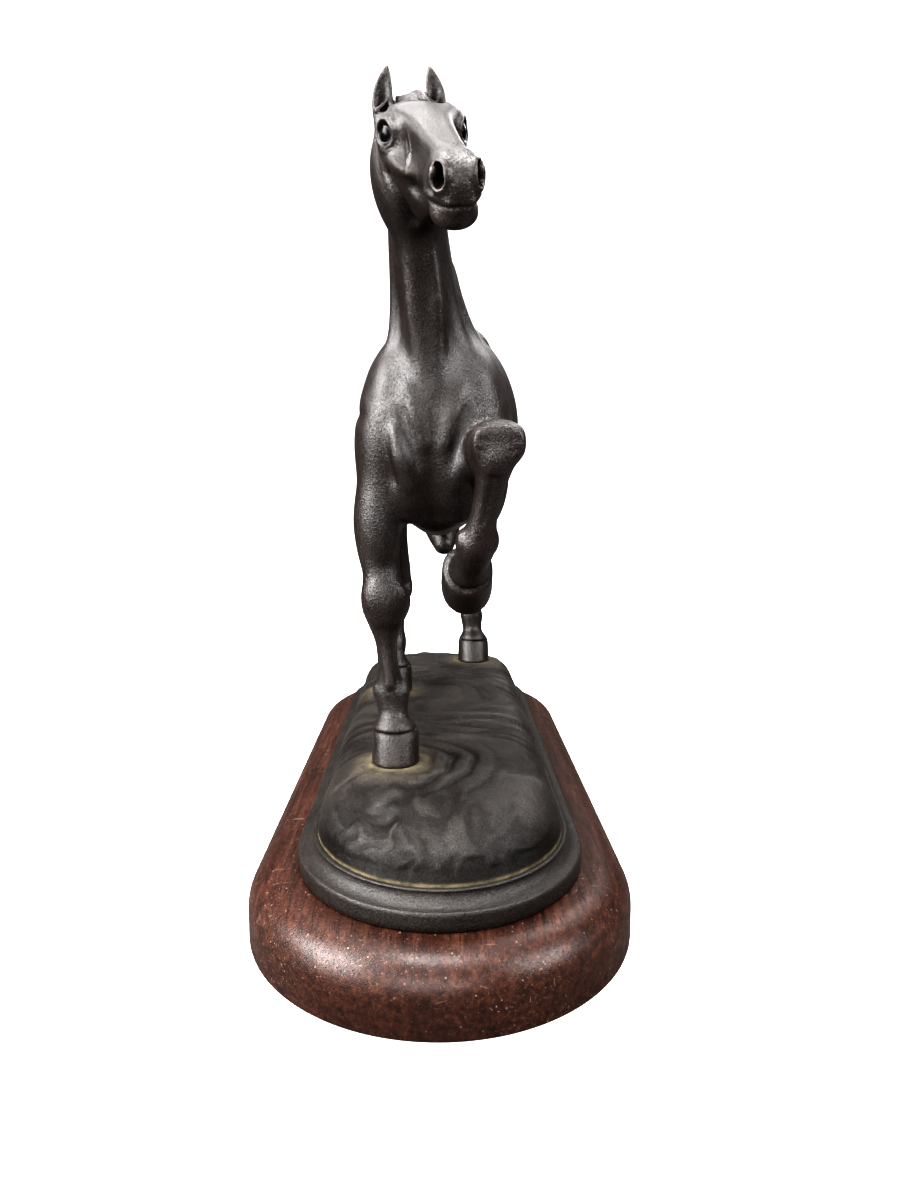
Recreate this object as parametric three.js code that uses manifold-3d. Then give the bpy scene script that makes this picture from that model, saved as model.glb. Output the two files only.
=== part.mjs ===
// Bronze horse statuette on rockwork, inside a stepped bronze moulding, on an oval wood plinth.
// Units are millimetres, +Z is up, the horse faces -Y and its left side is +X.
// The origin is the centre of the flat underside.

import * as THREE from 'three';
import { mergeVertices } from 'three/addons/utils/BufferGeometryUtils.js';
import Module from 'manifold-3d';

const wasm = await Module();
wasm.setup();

// ---- Driving dimensions ----

const PLINTH_WIDTH = 150;
const PLINTH_LENGTH = 404;
const PLINTH_TOP = 27;
const PLINTH_EDGE_RADIUS = 14;
const PLINTH_FOOT_RADIUS = 3;
const END_ROUNDNESS = 1.14; // length of a rounded end, over half of the width
const FELT_THICKNESS = 1;
const FELT_INSET = 4;

const MOULDING_INSET = 19.5; // from the plinth's widest line to the moulding's band
const MOULDING_BAND = 7;
const MOULDING_COVE = 5;
const MOULDING_TOP = 39.5;

const TERRAIN_INSET = 7.5; // from the moulding's band to the rock
const TERRAIN_SKIRT = 1.5; // the part below the rim stands this much further in
const HOOF_PLANE = 61;
const TERRAIN_WALL = 5;

const GAP = 0.3; // clearance between mated pieces

const STUD_RADIUS = 2;
const NUT_RADIUS = 4;
const NUT_HEIGHT = 3;
const WASHER_RADIUS = 4.6;
const WASHER_HEIGHT = 1;
const BOSS_RADIUS = 6;
const BOLT_HEAD_RADIUS = 4.5;
const BOLT_HEAD_HEIGHT = 3;
const BOLT_LENGTH = 34;
const COUNTERBORE_DEPTH = 7;
const BOLT_PLACES = [[-26, -62], [26, -62], [-26, 58], [26, 58]];

const PIN_RADIUS = 1.3;
const TENON_RADIUS = 4.2;
const TENON_LENGTH = 15;
const SOCKET_LENGTH = 34; // long enough to open into the hollow body
const CASTING_WALL = 5;

// Where each standing hoof meets the rock: the centre of its sole.
const HOOVES = {
  right_fore: [-18, -105],
  left_hind: [21.4, 95],
  right_hind: [-24.4, 17.5],
};

// ---- Materials ----

const bronze = new THREE.MeshStandardMaterial({ color: 0x3b2a20, roughness: 0.36, metalness: 1 });
const baseBronze = new THREE.MeshStandardMaterial({ color: 0x34271d, roughness: 0.42, metalness: 1 });
const mahogany = new THREE.MeshStandardMaterial({ color: 0x5a2415, roughness: 0.3, metalness: 0 });
const baize = new THREE.MeshStandardMaterial({ color: 0x1f3a2a, roughness: 0.95, metalness: 0 });
const steel = new THREE.MeshStandardMaterial({ color: 0x8b8d8f, roughness: 0.45, metalness: 1 });

// ---- Solids ----

const MERGE_DISTANCE = 1e-4;

function asSolid(geometry) {
  const bare = geometry.clone();
  bare.deleteAttribute('normal');
  bare.deleteAttribute('uv');
  const merged = mergeVertices(bare, MERGE_DISTANCE);
  const corners = merged.index.array;
  const kept = [];
  for (let i = 0; i < corners.length; i += 3) {
    const [a, b, c] = corners.slice(i, i + 3);
    if (a !== b && b !== c && c !== a) kept.push(a, b, c);
  }
  return new wasm.Manifold(new wasm.Mesh({
    numProp: 3,
    vertProperties: Float32Array.from(merged.attributes.position.array),
    triVerts: Uint32Array.from(kept),
  }));
}

function asGeometry(solid) {
  const mesh = solid.getMesh();
  const geometry = new THREE.BufferGeometry();
  geometry.setAttribute('position', new THREE.BufferAttribute(mesh.vertProperties.slice(), 3));
  geometry.setIndex(new THREE.BufferAttribute(mesh.triVerts.slice(), 1));
  geometry.computeVertexNormals();
  return geometry;
}

function signedVolume(points, triangles) {
  let total = 0;
  for (let i = 0; i < triangles.length; i += 3) {
    const [a, b, c] = [0, 1, 2].map((k) => points[triangles[i + k]]);
    total += a.dot(new THREE.Vector3().crossVectors(b, c));
  }
  return total / 6;
}

// A closed skin over a row of rings with equal point counts. With capped false the last ring
// joins the first one, which makes a hollow ring.
function skin(rings, capped = true) {
  const count = rings[0].length;
  const points = rings.flat();
  const triangles = [];
  const steps = capped ? rings.length - 1 : rings.length;
  for (let r = 0; r < steps; r += 1) {
    const here = r * count;
    const next = ((r + 1) % rings.length) * count;
    for (let i = 0; i < count; i += 1) {
      const j = (i + 1) % count;
      triangles.push(here + i, here + j, next + j, here + i, next + j, next + i);
    }
  }
  if (capped) {
    for (const [first, flip] of [[0, true], [(rings.length - 1) * count, false]]) {
      const ring = points.slice(first, first + count);
      const centre = ring.reduce((sum, p) => sum.add(p), new THREE.Vector3()).divideScalar(count);
      points.push(centre);
      for (let i = 0; i < count; i += 1) {
        const j = (i + 1) % count;
        const [a, b] = flip ? [j, i] : [i, j];
        triangles.push(first + a, first + b, points.length - 1);
      }
    }
  }
  if (signedVolume(points, triangles) < 0) triangles.reverse();
  const geometry = new THREE.BufferGeometry().setFromPoints(points);
  geometry.setIndex(triangles);
  return asSolid(geometry);
}

function rod(from, to, radius, sides = 12) {
  const axis = to.clone().sub(from);
  const geometry = new THREE.CylinderGeometry(radius, radius, axis.length(), sides);
  const turn = new THREE.Quaternion().setFromUnitVectors(new THREE.Vector3(0, 1, 0), axis.normalize());
  geometry.applyQuaternion(turn);
  const middle = from.clone().add(to).divideScalar(2);
  geometry.translate(middle.x, middle.y, middle.z);
  return asSolid(geometry);
}

function upright(x, y, low, high, radius, sides = 12) {
  return rod(new THREE.Vector3(x, y, low), new THREE.Vector3(x, y, high), radius, sides);
}

function ellipsoid(centre, radii, across = 12, down = 8) {
  const geometry = new THREE.SphereGeometry(1, across, down);
  geometry.scale(...radii);
  geometry.translate(...centre);
  return asSolid(geometry);
}

function join(solids) {
  return solids.reduce((sum, one) => sum.add(one));
}

const BLOCK = 90; // side of the block that stands for one side of a joint plane

// A block that has one face centred on the point and reaches from there along the direction.
function blockFrom(point, direction) {
  const geometry = new THREE.BoxGeometry(BLOCK, BLOCK, BLOCK);
  geometry.applyQuaternion(new THREE.Quaternion().setFromUnitVectors(new THREE.Vector3(0, 0, 1), direction));
  const middle = point.clone().addScaledVector(direction, BLOCK / 2);
  geometry.translate(middle.x, middle.y, middle.z);
  return asSolid(geometry);
}

// ---- Oval base: plinth, felt and moulding ----

const OVAL_ARC_STEPS = 14; // steps round each rounded end

// The oval that lies the given distance inside the plinth's widest line: two straight sides
// and two half-elliptical ends.
function oval(inset, height) {
  const halfWidth = PLINTH_WIDTH / 2 - inset;
  const halfLength = PLINTH_LENGTH / 2 - inset;
  const straight = PLINTH_LENGTH / 2 - (PLINTH_WIDTH / 2) * END_ROUNDNESS;
  const ring = [];
  for (const end of [1, -1]) {
    for (let i = 0; i <= OVAL_ARC_STEPS; i += 1) {
      const angle = (i / OVAL_ARC_STEPS) * Math.PI;
      const x = end * halfWidth * Math.cos(angle);
      const y = end * (straight + (halfLength - straight) * Math.sin(angle));
      ring.push(new THREE.Vector3(x, y, height));
    }
  }
  return ring;
}

// Points of a quarter round from the first inset and height to the second one.
function quarterRound(inset0, height0, inset1, height1, steps, hollow = false) {
  const points = [];
  for (let i = 0; i <= steps; i += 1) {
    const angle = (i / steps) * (Math.PI / 2);
    const [u, v] = hollow ? [1 - Math.cos(angle), Math.sin(angle)] : [Math.sin(angle), 1 - Math.cos(angle)];
    points.push([inset0 + (inset1 - inset0) * v, height0 + (height1 - height0) * u]);
  }
  return points;
}

function woodPlinth() {
  const foot = quarterRound(PLINTH_FOOT_RADIUS, FELT_THICKNESS, 0, FELT_THICKNESS + PLINTH_FOOT_RADIUS, 2, true);
  const edge = quarterRound(0, PLINTH_TOP - PLINTH_EDGE_RADIUS, PLINTH_EDGE_RADIUS, PLINTH_TOP, 5);
  let plinth = skin([...foot, ...edge].map(([inset, height]) => oval(inset, height)));
  for (const [x, y] of BOLT_PLACES) {
    plinth = plinth.subtract(upright(x, y, 0, PLINTH_TOP + 1, STUD_RADIUS + GAP));
    plinth = plinth.subtract(upright(x, y, 0, FELT_THICKNESS + COUNTERBORE_DEPTH, WASHER_RADIUS + 1));
  }
  return plinth;
}

function baseFelt() {
  return skin([oval(FELT_INSET, 0), oval(FELT_INSET, FELT_THICKNESS)]);
}

function baseMoulding() {
  const bandTop = PLINTH_TOP + MOULDING_BAND;
  const inner = MOULDING_INSET + TERRAIN_INSET + TERRAIN_SKIRT - GAP;
  const cove = quarterRound(MOULDING_INSET, bandTop, MOULDING_INSET + MOULDING_COVE, MOULDING_TOP, 3, true);
  const profile = [
    [MOULDING_INSET, PLINTH_TOP],
    ...cove,
    [inner, MOULDING_TOP],
    [inner, PLINTH_TOP],
  ];
  return skin(profile.map(([inset, height]) => oval(inset, height)), false);
}

// ---- Terrain ----

const ROCK_INSET = MOULDING_INSET + TERRAIN_INSET;
const ROCK_RISE = HOOF_PLANE - MOULDING_TOP;
const ROCK_RINGS = 7;
const STUD_SEAT = HOOF_PLANE - TERRAIN_WALL - 4; // flat underside of each boss below a hoof

// Height of the rock at a share of the way from its middle (0) to its edge (1). Low lumps
// roll along and across it, and the tail end dips.
function rockHeight(share, x, y) {
  const dome = (1 - share ** 5.5) ** 0.8;
  const lumps = Math.sin(x / 7 + 1) * Math.cos(y / 13) + Math.sin(y / 19 - x / 11);
  const dip = THREE.MathUtils.smoothstep(y, 110, 175) * 4;
  return MOULDING_TOP + (ROCK_RISE - dip) * dome + lumps * 0.7 * dome * (1 - dome * 0.4);
}

function rockRing(share, inset, drop) {
  return oval(ROCK_INSET + inset, 0).map((p) => {
    const x = p.x * share;
    const y = p.y * share;
    return new THREE.Vector3(x, y, rockHeight(share, x, y) - drop);
  });
}

function rockTerrain() {
  const shares = Array.from({ length: ROCK_RINGS }, (_, i) => Math.sin(((i + 0.6) / (ROCK_RINGS - 0.4)) * (Math.PI / 2)));
  const skirt = (inset, height) => oval(ROCK_INSET + TERRAIN_SKIRT + inset, height);
  const outer = [...shares].reverse().map((share) => rockRing(share, 0, 0));
  const shell = skin([skirt(0, PLINTH_TOP), skirt(0, MOULDING_TOP), ...outer]);
  const innerShares = shares.filter((share) => share < 0.97);
  const inner = [...innerShares].reverse().map((share) => rockRing(share, TERRAIN_WALL, TERRAIN_WALL));
  const hollow = skin([skirt(TERRAIN_WALL, PLINTH_TOP - 1), skirt(TERRAIN_WALL, MOULDING_TOP - 2), ...inner]);
  let terrain = shell.subtract(hollow);
  for (const [x, y] of Object.values(HOOVES)) {
    terrain = terrain.add(upright(x, y, STUD_SEAT, HOOF_PLANE - 2, BOSS_RADIUS + 1));
    terrain = terrain.add(hoofMound(x, y)).subtract(hoofSeat(x, y));
    terrain = terrain.subtract(upright(x, y, STUD_SEAT - 1, HOOF_PLANE + 4, STUD_RADIUS + GAP));
    terrain = terrain.subtract(upright(x, y, PLINTH_TOP, STUD_SEAT, WASHER_RADIUS + 1, 16));
  }
  for (const [x, y] of BOLT_PLACES) {
    terrain = terrain.add(upright(x, y, PLINTH_TOP, HOOF_PLANE - TERRAIN_WALL, BOSS_RADIUS));
    terrain = terrain.subtract(upright(x, y, PLINTH_TOP - 1, PLINTH_TOP + BOLT_LENGTH - 6, STUD_RADIUS + GAP));
  }
  return terrain;
}

// ---- Horse ----

// A skin over cross-sections that are known by their side view. Each section is
// [x of the middle line, y and z of its top, y and z of its bottom, half of its width, pinch].
// The pinch narrows the section towards its top.
function profileLoft(sections, sides, inset = 0) {
  return skin(sections.map(([x, topY, topZ, bottomY, bottomZ, half, pinch]) => {
    const middle = new THREE.Vector3(x, (topY + bottomY) / 2, (topZ + bottomZ) / 2);
    const up = new THREE.Vector3(0, (topY - bottomY) / 2, (topZ - bottomZ) / 2);
    up.setLength(up.length() - inset);
    return Array.from({ length: sides }, (_, i) => {
      const angle = (i / sides) * 2 * Math.PI;
      const narrow = 1 - pinch * Math.max(0, Math.cos(angle));
      const point = middle.clone().addScaledVector(up, Math.cos(angle));
      point.x += (half - inset) * narrow * Math.sin(angle);
      return point;
    });
  }));
}

// A limb through stations [x, y, z, half width, half depth], grown all round by a margin.
function limb(stations, sides = 12, growth = 0) {
  const path = new THREE.CatmullRomCurve3(stations.map(([x, y, z]) => new THREE.Vector3(x, y, z)));
  return skin(stations.map(([x, y, z, wide, deep], index) => {
    const along = path.getTangent(index / (stations.length - 1));
    const across = new THREE.Vector3(1, 0, 0).addScaledVector(along, -along.x).normalize();
    const fore = new THREE.Vector3().crossVectors(along, across);
    return Array.from({ length: sides }, (_, i) => {
      const angle = (i / sides) * 2 * Math.PI;
      return new THREE.Vector3(x, y, z)
        .addScaledVector(across, (wide + growth) * Math.cos(angle))
        .addScaledVector(fore, (deep + growth) * Math.sin(angle));
    });
  }));
}

const HOOF_HALF_WIDTH = 9.5;
const HOOF_HALF_LENGTH = 10;
const HOOF_HEIGHT = 12;

// A hoof whose sole is centred on the given point. It tapers up to the coronet, which lies
// further back, and the turn tips it about the X axis.
function hoof(x, y, z, turn = 0) {
  const levels = [[0, 1, 0], [0.5, 0.93, 0.6], [1, 0.84, 1.4]];
  const rings = levels.map(([level, size, back]) => Array.from({ length: 14 }, (_, i) => {
    const angle = (i / 14) * 2 * Math.PI;
    const point = new THREE.Vector3(
      HOOF_HALF_WIDTH * size * Math.cos(angle),
      HOOF_HALF_LENGTH * size * Math.sin(angle) + back,
      HOOF_HEIGHT * level,
    );
    return point.applyAxisAngle(new THREE.Vector3(1, 0, 0), turn).add(new THREE.Vector3(x, y, z));
  }));
  return skin(rings);
}

// An upright solid whose level outlines lie the given margins outside a hoof's sole.
function aroundHoof(x, y, margins) {
  return skin(margins.map(([margin, height]) => Array.from({ length: 18 }, (_, i) => {
    const angle = (i / 18) * 2 * Math.PI;
    const wide = (HOOF_HALF_WIDTH + margin) * Math.cos(angle);
    const long = (HOOF_HALF_LENGTH + margin) * Math.sin(angle);
    return new THREE.Vector3(x + wide, y + long, height);
  })));
}

// The low mound of rock that brings the ground up to a hoof.
function hoofMound(x, y) {
  return aroundHoof(x, y, [[9, HOOF_PLANE - TERRAIN_WALL], [3, HOOF_PLANE + GAP]]);
}

// The flat recess in the rock that a hoof stands in.
function hoofSeat(x, y) {
  return aroundHoof(x, y, [[GAP * 2, HOOF_PLANE - GAP], [GAP * 2, HOOF_PLANE + HOOF_HEIGHT]]);
}

const TORSO = [
  [-2, -122, 212, -122, 186, 16, 0.1],
  [-2, -116, 226, -116, 172, 26, 0.2],
  [-1.5, -106, 240, -106, 160, 29.5, 0.45],
  [-1, -90, 255, -90, 154, 30, 0.66],
  [-0.5, -68, 262, -68, 154, 31, 0.72],
  [0, -45, 254, -45, 156, 34, 0.45],
  [0, -20, 250, -20, 159, 36, 0.25],
  [0, 2, 251, 2, 163, 35, 0.2],
  [0, 20, 255, 20, 170, 34, 0.25],
  [0, 38, 257, 38, 178, 33, 0.25],
  [0, 54, 253, 54, 184, 30, 0.25],
  [0, 68, 245, 68, 192, 24, 0.2],
  [0, 78, 230, 78, 204, 12, 0.1],
];

const NECK = [
  [-1.5, -72, 256, -104, 184, 18, 0.6],
  [-3.2, -82, 266, -120, 202, 15, 0.6],
  [-4.6, -95, 277, -123, 220, 12.4, 0.5],
  [-5.8, -109, 288, -126, 236, 11, 0.4],
  [-6.6, -122, 296, -131, 248, 10.4, 0.35],
  [-8, -134, 299, -137, 257, 10, 0.3],
  [-8.5, -144, 296, -143, 264, 9.5, 0.2],
];

const HEAD = [
  [-8.5, -134, 297, -131, 262, 10, 0.3],
  [-7.6, -146, 295, -138, 255, 13.5, 0.3],
  [-6.4, -156, 289, -148, 252, 14.8, 0.2],
  [-4.4, -166, 281.5, -158, 251, 13, 0.25],
  [-1.8, -176, 274.5, -168, 250, 10, 0.3],
  [0.8, -186, 268.5, -178, 248.5, 8, 0.3],
  [3.6, -195, 264, -186, 246.6, 8, 0.1],
  [4.8, -200, 258, -192, 247.5, 6, 0],
];

const EAR_HEIGHT = 15;
const EARS = [[-18.6, -18.3], [-2, -4]]; // x of each base and tip
const EAR_Y = -139;
const EAR_BASE = 295;

function ear([baseX, tipX]) {
  const shape = [[-0.9, 3], [-0.1, 3.3], [0.3, 3.9], [0.65, 2.9], [1.07, 0.5]];
  return limb(shape.map(([level, half]) => [
    baseX + (tipX - baseX) * level, EAR_Y, EAR_BASE + EAR_HEIGHT * level, half, half * 0.65,
  ]), 8);
}

// Each leg is one casting from its joint plane down. The path starts inside the body, and the
// joint is the point and direction (out of the body) of the plane where the two castings meet.
const LEGS = {
  right_foreleg: {
    paths: [[
      [-18, -96, 198, 11, 20],
      [-22, -98, 180, 11, 17],
      [-24.8, -99, 166, 10.4, 13.6],
      [-25.2, -100, 153, 9.2, 11],
      [-22.6, -102, 138, 7, 7.8],
      [-20.6, -103, 128, 9, 8.6],
      [-20.7, -102.5, 120, 7.2, 7.4],
      [-21, -101.5, 108, 4.5, 6],
      [-20.6, -101, 97, 4.8, 6.2],
      [-19.8, -101, 89, 7.2, 7.6],
      [-19, -102.5, 80, 6.2, 6.4],
      [-18.3, -104, 70, 7.6, 8],
    ]],
    hoof: [-18, -105, HOOF_PLANE, 0],
    joint: [[-25.2, -99.5, 162], [0, 0, -1]],
  },
  left_foreleg: {
    paths: [
      [
        [15, -92, 196, 10, 18],
        [17.5, -104, 184, 10, 13.5],
        [18.4, -118, 183, 9.8, 12],
        [19, -132, 184.5, 8.8, 9.5],
        [19, -146, 186.5, 7.2, 7.4],
        [18.8, -158, 187, 8.2, 7.8],
        [18.6, -166, 186, 6.6, 6],
      ],
      [
        [18.8, -160, 189, 7, 6],
        [18.6, -160, 181, 7.2, 7],
        [17.2, -155.5, 171, 4.9, 5.8],
        [14.8, -151, 161, 5, 6.2],
        [13, -148, 153.6, 7.2, 7.4],
        [11.8, -141, 147, 6.2, 6.2],
        [10.8, -134, 142, 7.6, 7.6],
      ],
    ],
    hoof: [9.6, -125.5, 133.6, 0.79],
    joint: [[18.2, -114, 183.2], [0, -1, 0.02]],
  },
  left_hind_leg: {
    paths: [
      [
        [18, 44, 206, 14, 30],
        [23, 44, 190, 13, 27],
        [26, 48, 176, 11.5, 21],
        [26.5, 60, 161, 9.4, 14],
        [25, 76, 148, 7, 9],
        [23.4, 88, 140, 7.4, 9],
        [22.8, 95, 136, 6, 6],
      ],
      [
        [23.2, 93, 144, 6, 6],
        [22.8, 92, 134, 7, 9],
        [21.4, 93.5, 122, 5.2, 6.6],
        [20.8, 95, 108, 4.6, 6],
        [20.4, 97.5, 97, 5, 6.2],
        [20.3, 98.6, 89, 7, 7.4],
        [20.8, 97, 80, 6.2, 6.4],
        [21.3, 96, 70, 7.6, 8],
      ],
    ],
    hoof: [21.4, 95, HOOF_PLANE, 0],
    joint: [[26.2, 53, 169], [0.02, 0.62, -0.78]],
  },
  right_hind_leg: {
    paths: [
      [
        [-16, 34, 208, 14, 30],
        [-22, 30, 192, 13, 28],
        [-26, 24, 176, 12, 21],
        [-26, 26, 160, 10, 14.5],
        [-24, 34, 143, 7.6, 9.5],
        [-21.5, 43, 128, 7, 8],
        [-20.8, 50, 117, 7, 8],
        [-20.8, 53, 111, 5, 5],
      ],
      [
        [-20.8, 53, 119, 5.5, 5.5],
        [-20.8, 48.5, 113, 6.6, 7.4],
        [-22, 40, 105, 5, 6.2],
        [-23, 31, 96, 4.6, 5.8],
        [-23.6, 24, 88, 6.4, 7],
        [-24, 21, 84, 7, 7.4],
        [-24.2, 19, 77, 6.4, 6.6],
        [-24.3, 18.5, 70, 7.6, 8],
      ],
    ],
    hoof: [-24.4, 17.5, HOOF_PLANE, 0],
    joint: [[-26, 24.5, 167], [0, 0.1, -1]],
  },
};

const TAIL = {
  path: [
    [0, 52, 240, 5, 5],
    [0, 66, 243, 5.6, 5.6],
    [0.5, 78, 247, 6, 6],
    [1, 92, 247, 8, 7.4],
    [1.6, 106, 238, 10, 9],
    [2.2, 117, 221, 11.4, 10.4],
    [2.6, 124, 200, 11.4, 10.8],
    [2.6, 130, 178, 9.6, 9.4],
    [2.2, 137, 158, 6.4, 6],
    [1.6, 145, 144, 1.6, 1.6],
  ],
  joint: [[0.2, 71, 244.4], [0, 0.96, 0.26]],
};

// Splits one limb at its joint plane. The lower part carries a tenon and the upper part stays
// with the body. The pocket is the room that the body leaves for the lower part, and the
// socket is the tenon grown by the gap, open into the hollow body.
function splitAtJoint(whole, grown, [point, direction]) {
  const way = new THREE.Vector3(...direction).normalize();
  const at = (distance) => new THREE.Vector3(...point).addScaledVector(way, distance);
  const inward = way.clone().negate();
  const tenon = rod(at(-TENON_LENGTH), at(1), TENON_RADIUS);
  return {
    lower: whole.subtract(blockFrom(at(GAP), inward)).add(tenon),
    upper: whole.intersect(blockFrom(at(0), inward)),
    pocket: grown.subtract(blockFrom(at(0), inward)),
    socket: rod(at(-SOCKET_LENGTH), at(1), TENON_RADIUS + GAP),
    pinMiddle: at(-TENON_LENGTH * 0.55),
  };
}

const PIN_HALF_LENGTH = 7.5;

function crossPin(middle, growth = 0) {
  const half = new THREE.Vector3(PIN_HALF_LENGTH + growth, 0, 0);
  return rod(middle.clone().sub(half), middle.clone().add(half), PIN_RADIUS + growth, 10);
}

function legParts(leg) {
  const [x, y, z, turn] = leg.hoof;
  const whole = join([...leg.paths.map((path) => limb(path)), hoof(x, y, z, turn)]);
  const grown = join(leg.paths.map((path) => limb(path, 12, GAP * 2)));
  return splitAtJoint(whole, grown, leg.joint);
}

const castings = Object.fromEntries(Object.entries(LEGS).map(([name, leg]) => [name, legParts(leg)]));
castings.tail = splitAtJoint(limb(TAIL.path), limb(TAIL.path, 12, GAP * 2), TAIL.joint);

function horseBody() {
  const sheath = ellipsoid([0, 4, 158], [6, 22, 12]);
  const eyes = [-18.6, 5.6].map((x) => ellipsoid([x, -154, 282], [2.2, 4, 3.4], 8, 6));
  const outer = join([
    profileLoft(TORSO, 24),
    profileLoft(NECK, 18),
    profileLoft(HEAD, 18),
    sheath,
    ...eyes,
    ...EARS.map(ear),
    ...Object.values(castings).map((casting) => casting.upper),
  ]);
  const hollow = profileLoft(TORSO.slice(2, -2), 14, CASTING_WALL);
  let body = outer.subtract(hollow);
  for (const casting of Object.values(castings)) {
    body = body.subtract(casting.pocket).subtract(casting.socket);
    body = body.subtract(crossPin(casting.pinMiddle, GAP));
  }
  return body;
}

// ---- Fasteners ----

function hoofStud([x, y]) {
  return upright(x, y, STUD_SEAT - 6, HOOF_PLANE + 8, STUD_RADIUS);
}

function ringAround([x, y], low, high, radius, sides) {
  const hole = upright(x, y, low - 1, high + 1, STUD_RADIUS + GAP);
  return upright(x, y, low, high, radius, sides).subtract(hole);
}

function hoofWasher(place) {
  return ringAround(place, STUD_SEAT - WASHER_HEIGHT, STUD_SEAT, WASHER_RADIUS, 16);
}

function hoofNut(place) {
  const top = STUD_SEAT - WASHER_HEIGHT;
  return ringAround(place, top - NUT_HEIGHT, top, NUT_RADIUS, 6);
}

const BOLT_SEAT = FELT_THICKNESS + COUNTERBORE_DEPTH;

function plinthWasher(place) {
  return ringAround(place, BOLT_SEAT - WASHER_HEIGHT, BOLT_SEAT, WASHER_RADIUS, 16);
}

function plinthBolt([x, y]) {
  const under = BOLT_SEAT - WASHER_HEIGHT;
  const head = upright(x, y, under - BOLT_HEAD_HEIGHT, under, BOLT_HEAD_RADIUS, 6);
  return head.add(upright(x, y, under - 1, under + BOLT_LENGTH, STUD_RADIUS));
}

// ---- Assembly ----

const group = new THREE.Group();

function place(name, solid, material) {
  const mesh = new THREE.Mesh(asGeometry(solid), material);
  mesh.name = name;
  group.add(mesh);
}

place('wood_plinth', woodPlinth(), mahogany);
place('base_felt', baseFelt(), baize);
place('base_moulding', baseMoulding(), baseBronze);
place('rock_terrain', rockTerrain(), baseBronze);
place('horse_body', horseBody(), bronze);

for (const [name, casting] of Object.entries(castings)) {
  const hoofHole = HOOVES[name.replace('leg', '').replace(/_$/, '')];
  const bored = hoofHole
    ? casting.lower.subtract(upright(...hoofHole, HOOF_PLANE - 1, HOOF_PLANE + 9, STUD_RADIUS + GAP))
    : casting.lower;
  place(name, bored.subtract(crossPin(casting.pinMiddle, GAP)), bronze);
  place(`${name}_pin`, crossPin(casting.pinMiddle), bronze);
}

for (const [name, spot] of Object.entries(HOOVES)) {
  place(`${name}_stud`, hoofStud(spot), steel);
  place(`${name}_washer`, hoofWasher(spot), steel);
  place(`${name}_nut`, hoofNut(spot), steel);
}

BOLT_PLACES.forEach((spot, index) => {
  place(`plinth_bolt_${index + 1}`, plinthBolt(spot), steel);
  place(`plinth_washer_${index + 1}`, plinthWasher(spot), steel);
});

export default group;
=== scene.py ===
"""Bronze horse statue: the visual model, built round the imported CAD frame.

Lengths in this file are millimetres in the frame's own axes (+Z up, the horse faces -Y, its
left side is +X) and become metres only when a mesh is made.
"""
import math

import bpy
import numpy as np
import openvdb
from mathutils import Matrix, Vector, noise


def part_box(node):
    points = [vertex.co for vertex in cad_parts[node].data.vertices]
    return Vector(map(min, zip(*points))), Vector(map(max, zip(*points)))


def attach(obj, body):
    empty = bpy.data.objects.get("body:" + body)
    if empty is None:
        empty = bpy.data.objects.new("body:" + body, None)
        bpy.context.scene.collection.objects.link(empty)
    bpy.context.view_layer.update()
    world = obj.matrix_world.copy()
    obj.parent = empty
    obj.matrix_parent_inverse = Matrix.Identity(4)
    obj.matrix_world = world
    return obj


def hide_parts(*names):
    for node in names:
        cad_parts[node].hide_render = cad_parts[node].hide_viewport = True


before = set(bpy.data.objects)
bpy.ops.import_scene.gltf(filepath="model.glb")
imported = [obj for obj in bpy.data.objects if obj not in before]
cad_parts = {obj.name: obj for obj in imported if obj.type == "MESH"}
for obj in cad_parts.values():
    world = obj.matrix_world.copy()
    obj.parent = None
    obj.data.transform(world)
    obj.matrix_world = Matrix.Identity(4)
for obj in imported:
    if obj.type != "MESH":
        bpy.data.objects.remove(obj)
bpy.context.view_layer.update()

MM = 0.001


# ---------------- places from the frame

def box_mm(node):
    low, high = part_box(node)
    return np.array(low) / MM, np.array(high) / MM


def middle(node):
    low, high = box_mm(node)
    return (low + high) / 2


GROUND = box_mm("right_foreleg")[0][2]      # plane that the hooves stand on
EAR_TIP = box_mm("horse_body")[1][2]
SOLES = {
    "right_foreleg": middle("right_fore_stud")[:2],
    "left_hind_leg": middle("left_hind_stud")[:2],
    "right_hind_leg": middle("right_hind_stud")[:2],
}


# ---------------- clay: a signed distance grid

FAR = 20.0          # the distance that stands for "not near the skin"
MARGIN = 2          # room kept round a ball or a cord, besides its blend
THINNEST = 0.2      # least half width of a loft
TINY = 1e-6


def graded_axis(stops, pitches):
    """Grid lines from the first stop to the last, with one pitch for each stretch between stops."""
    runs = []
    for start, end, pitch in zip(stops, stops[1:], pitches):
        runs.append(np.linspace(start, end, max(round((end - start) / pitch), 1), endpoint=False))
    runs.append([stops[-1]])
    return np.concatenate(runs).astype(np.float32)


def unit(v):
    v = np.asarray(v, float)
    return v / np.linalg.norm(v)


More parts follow.
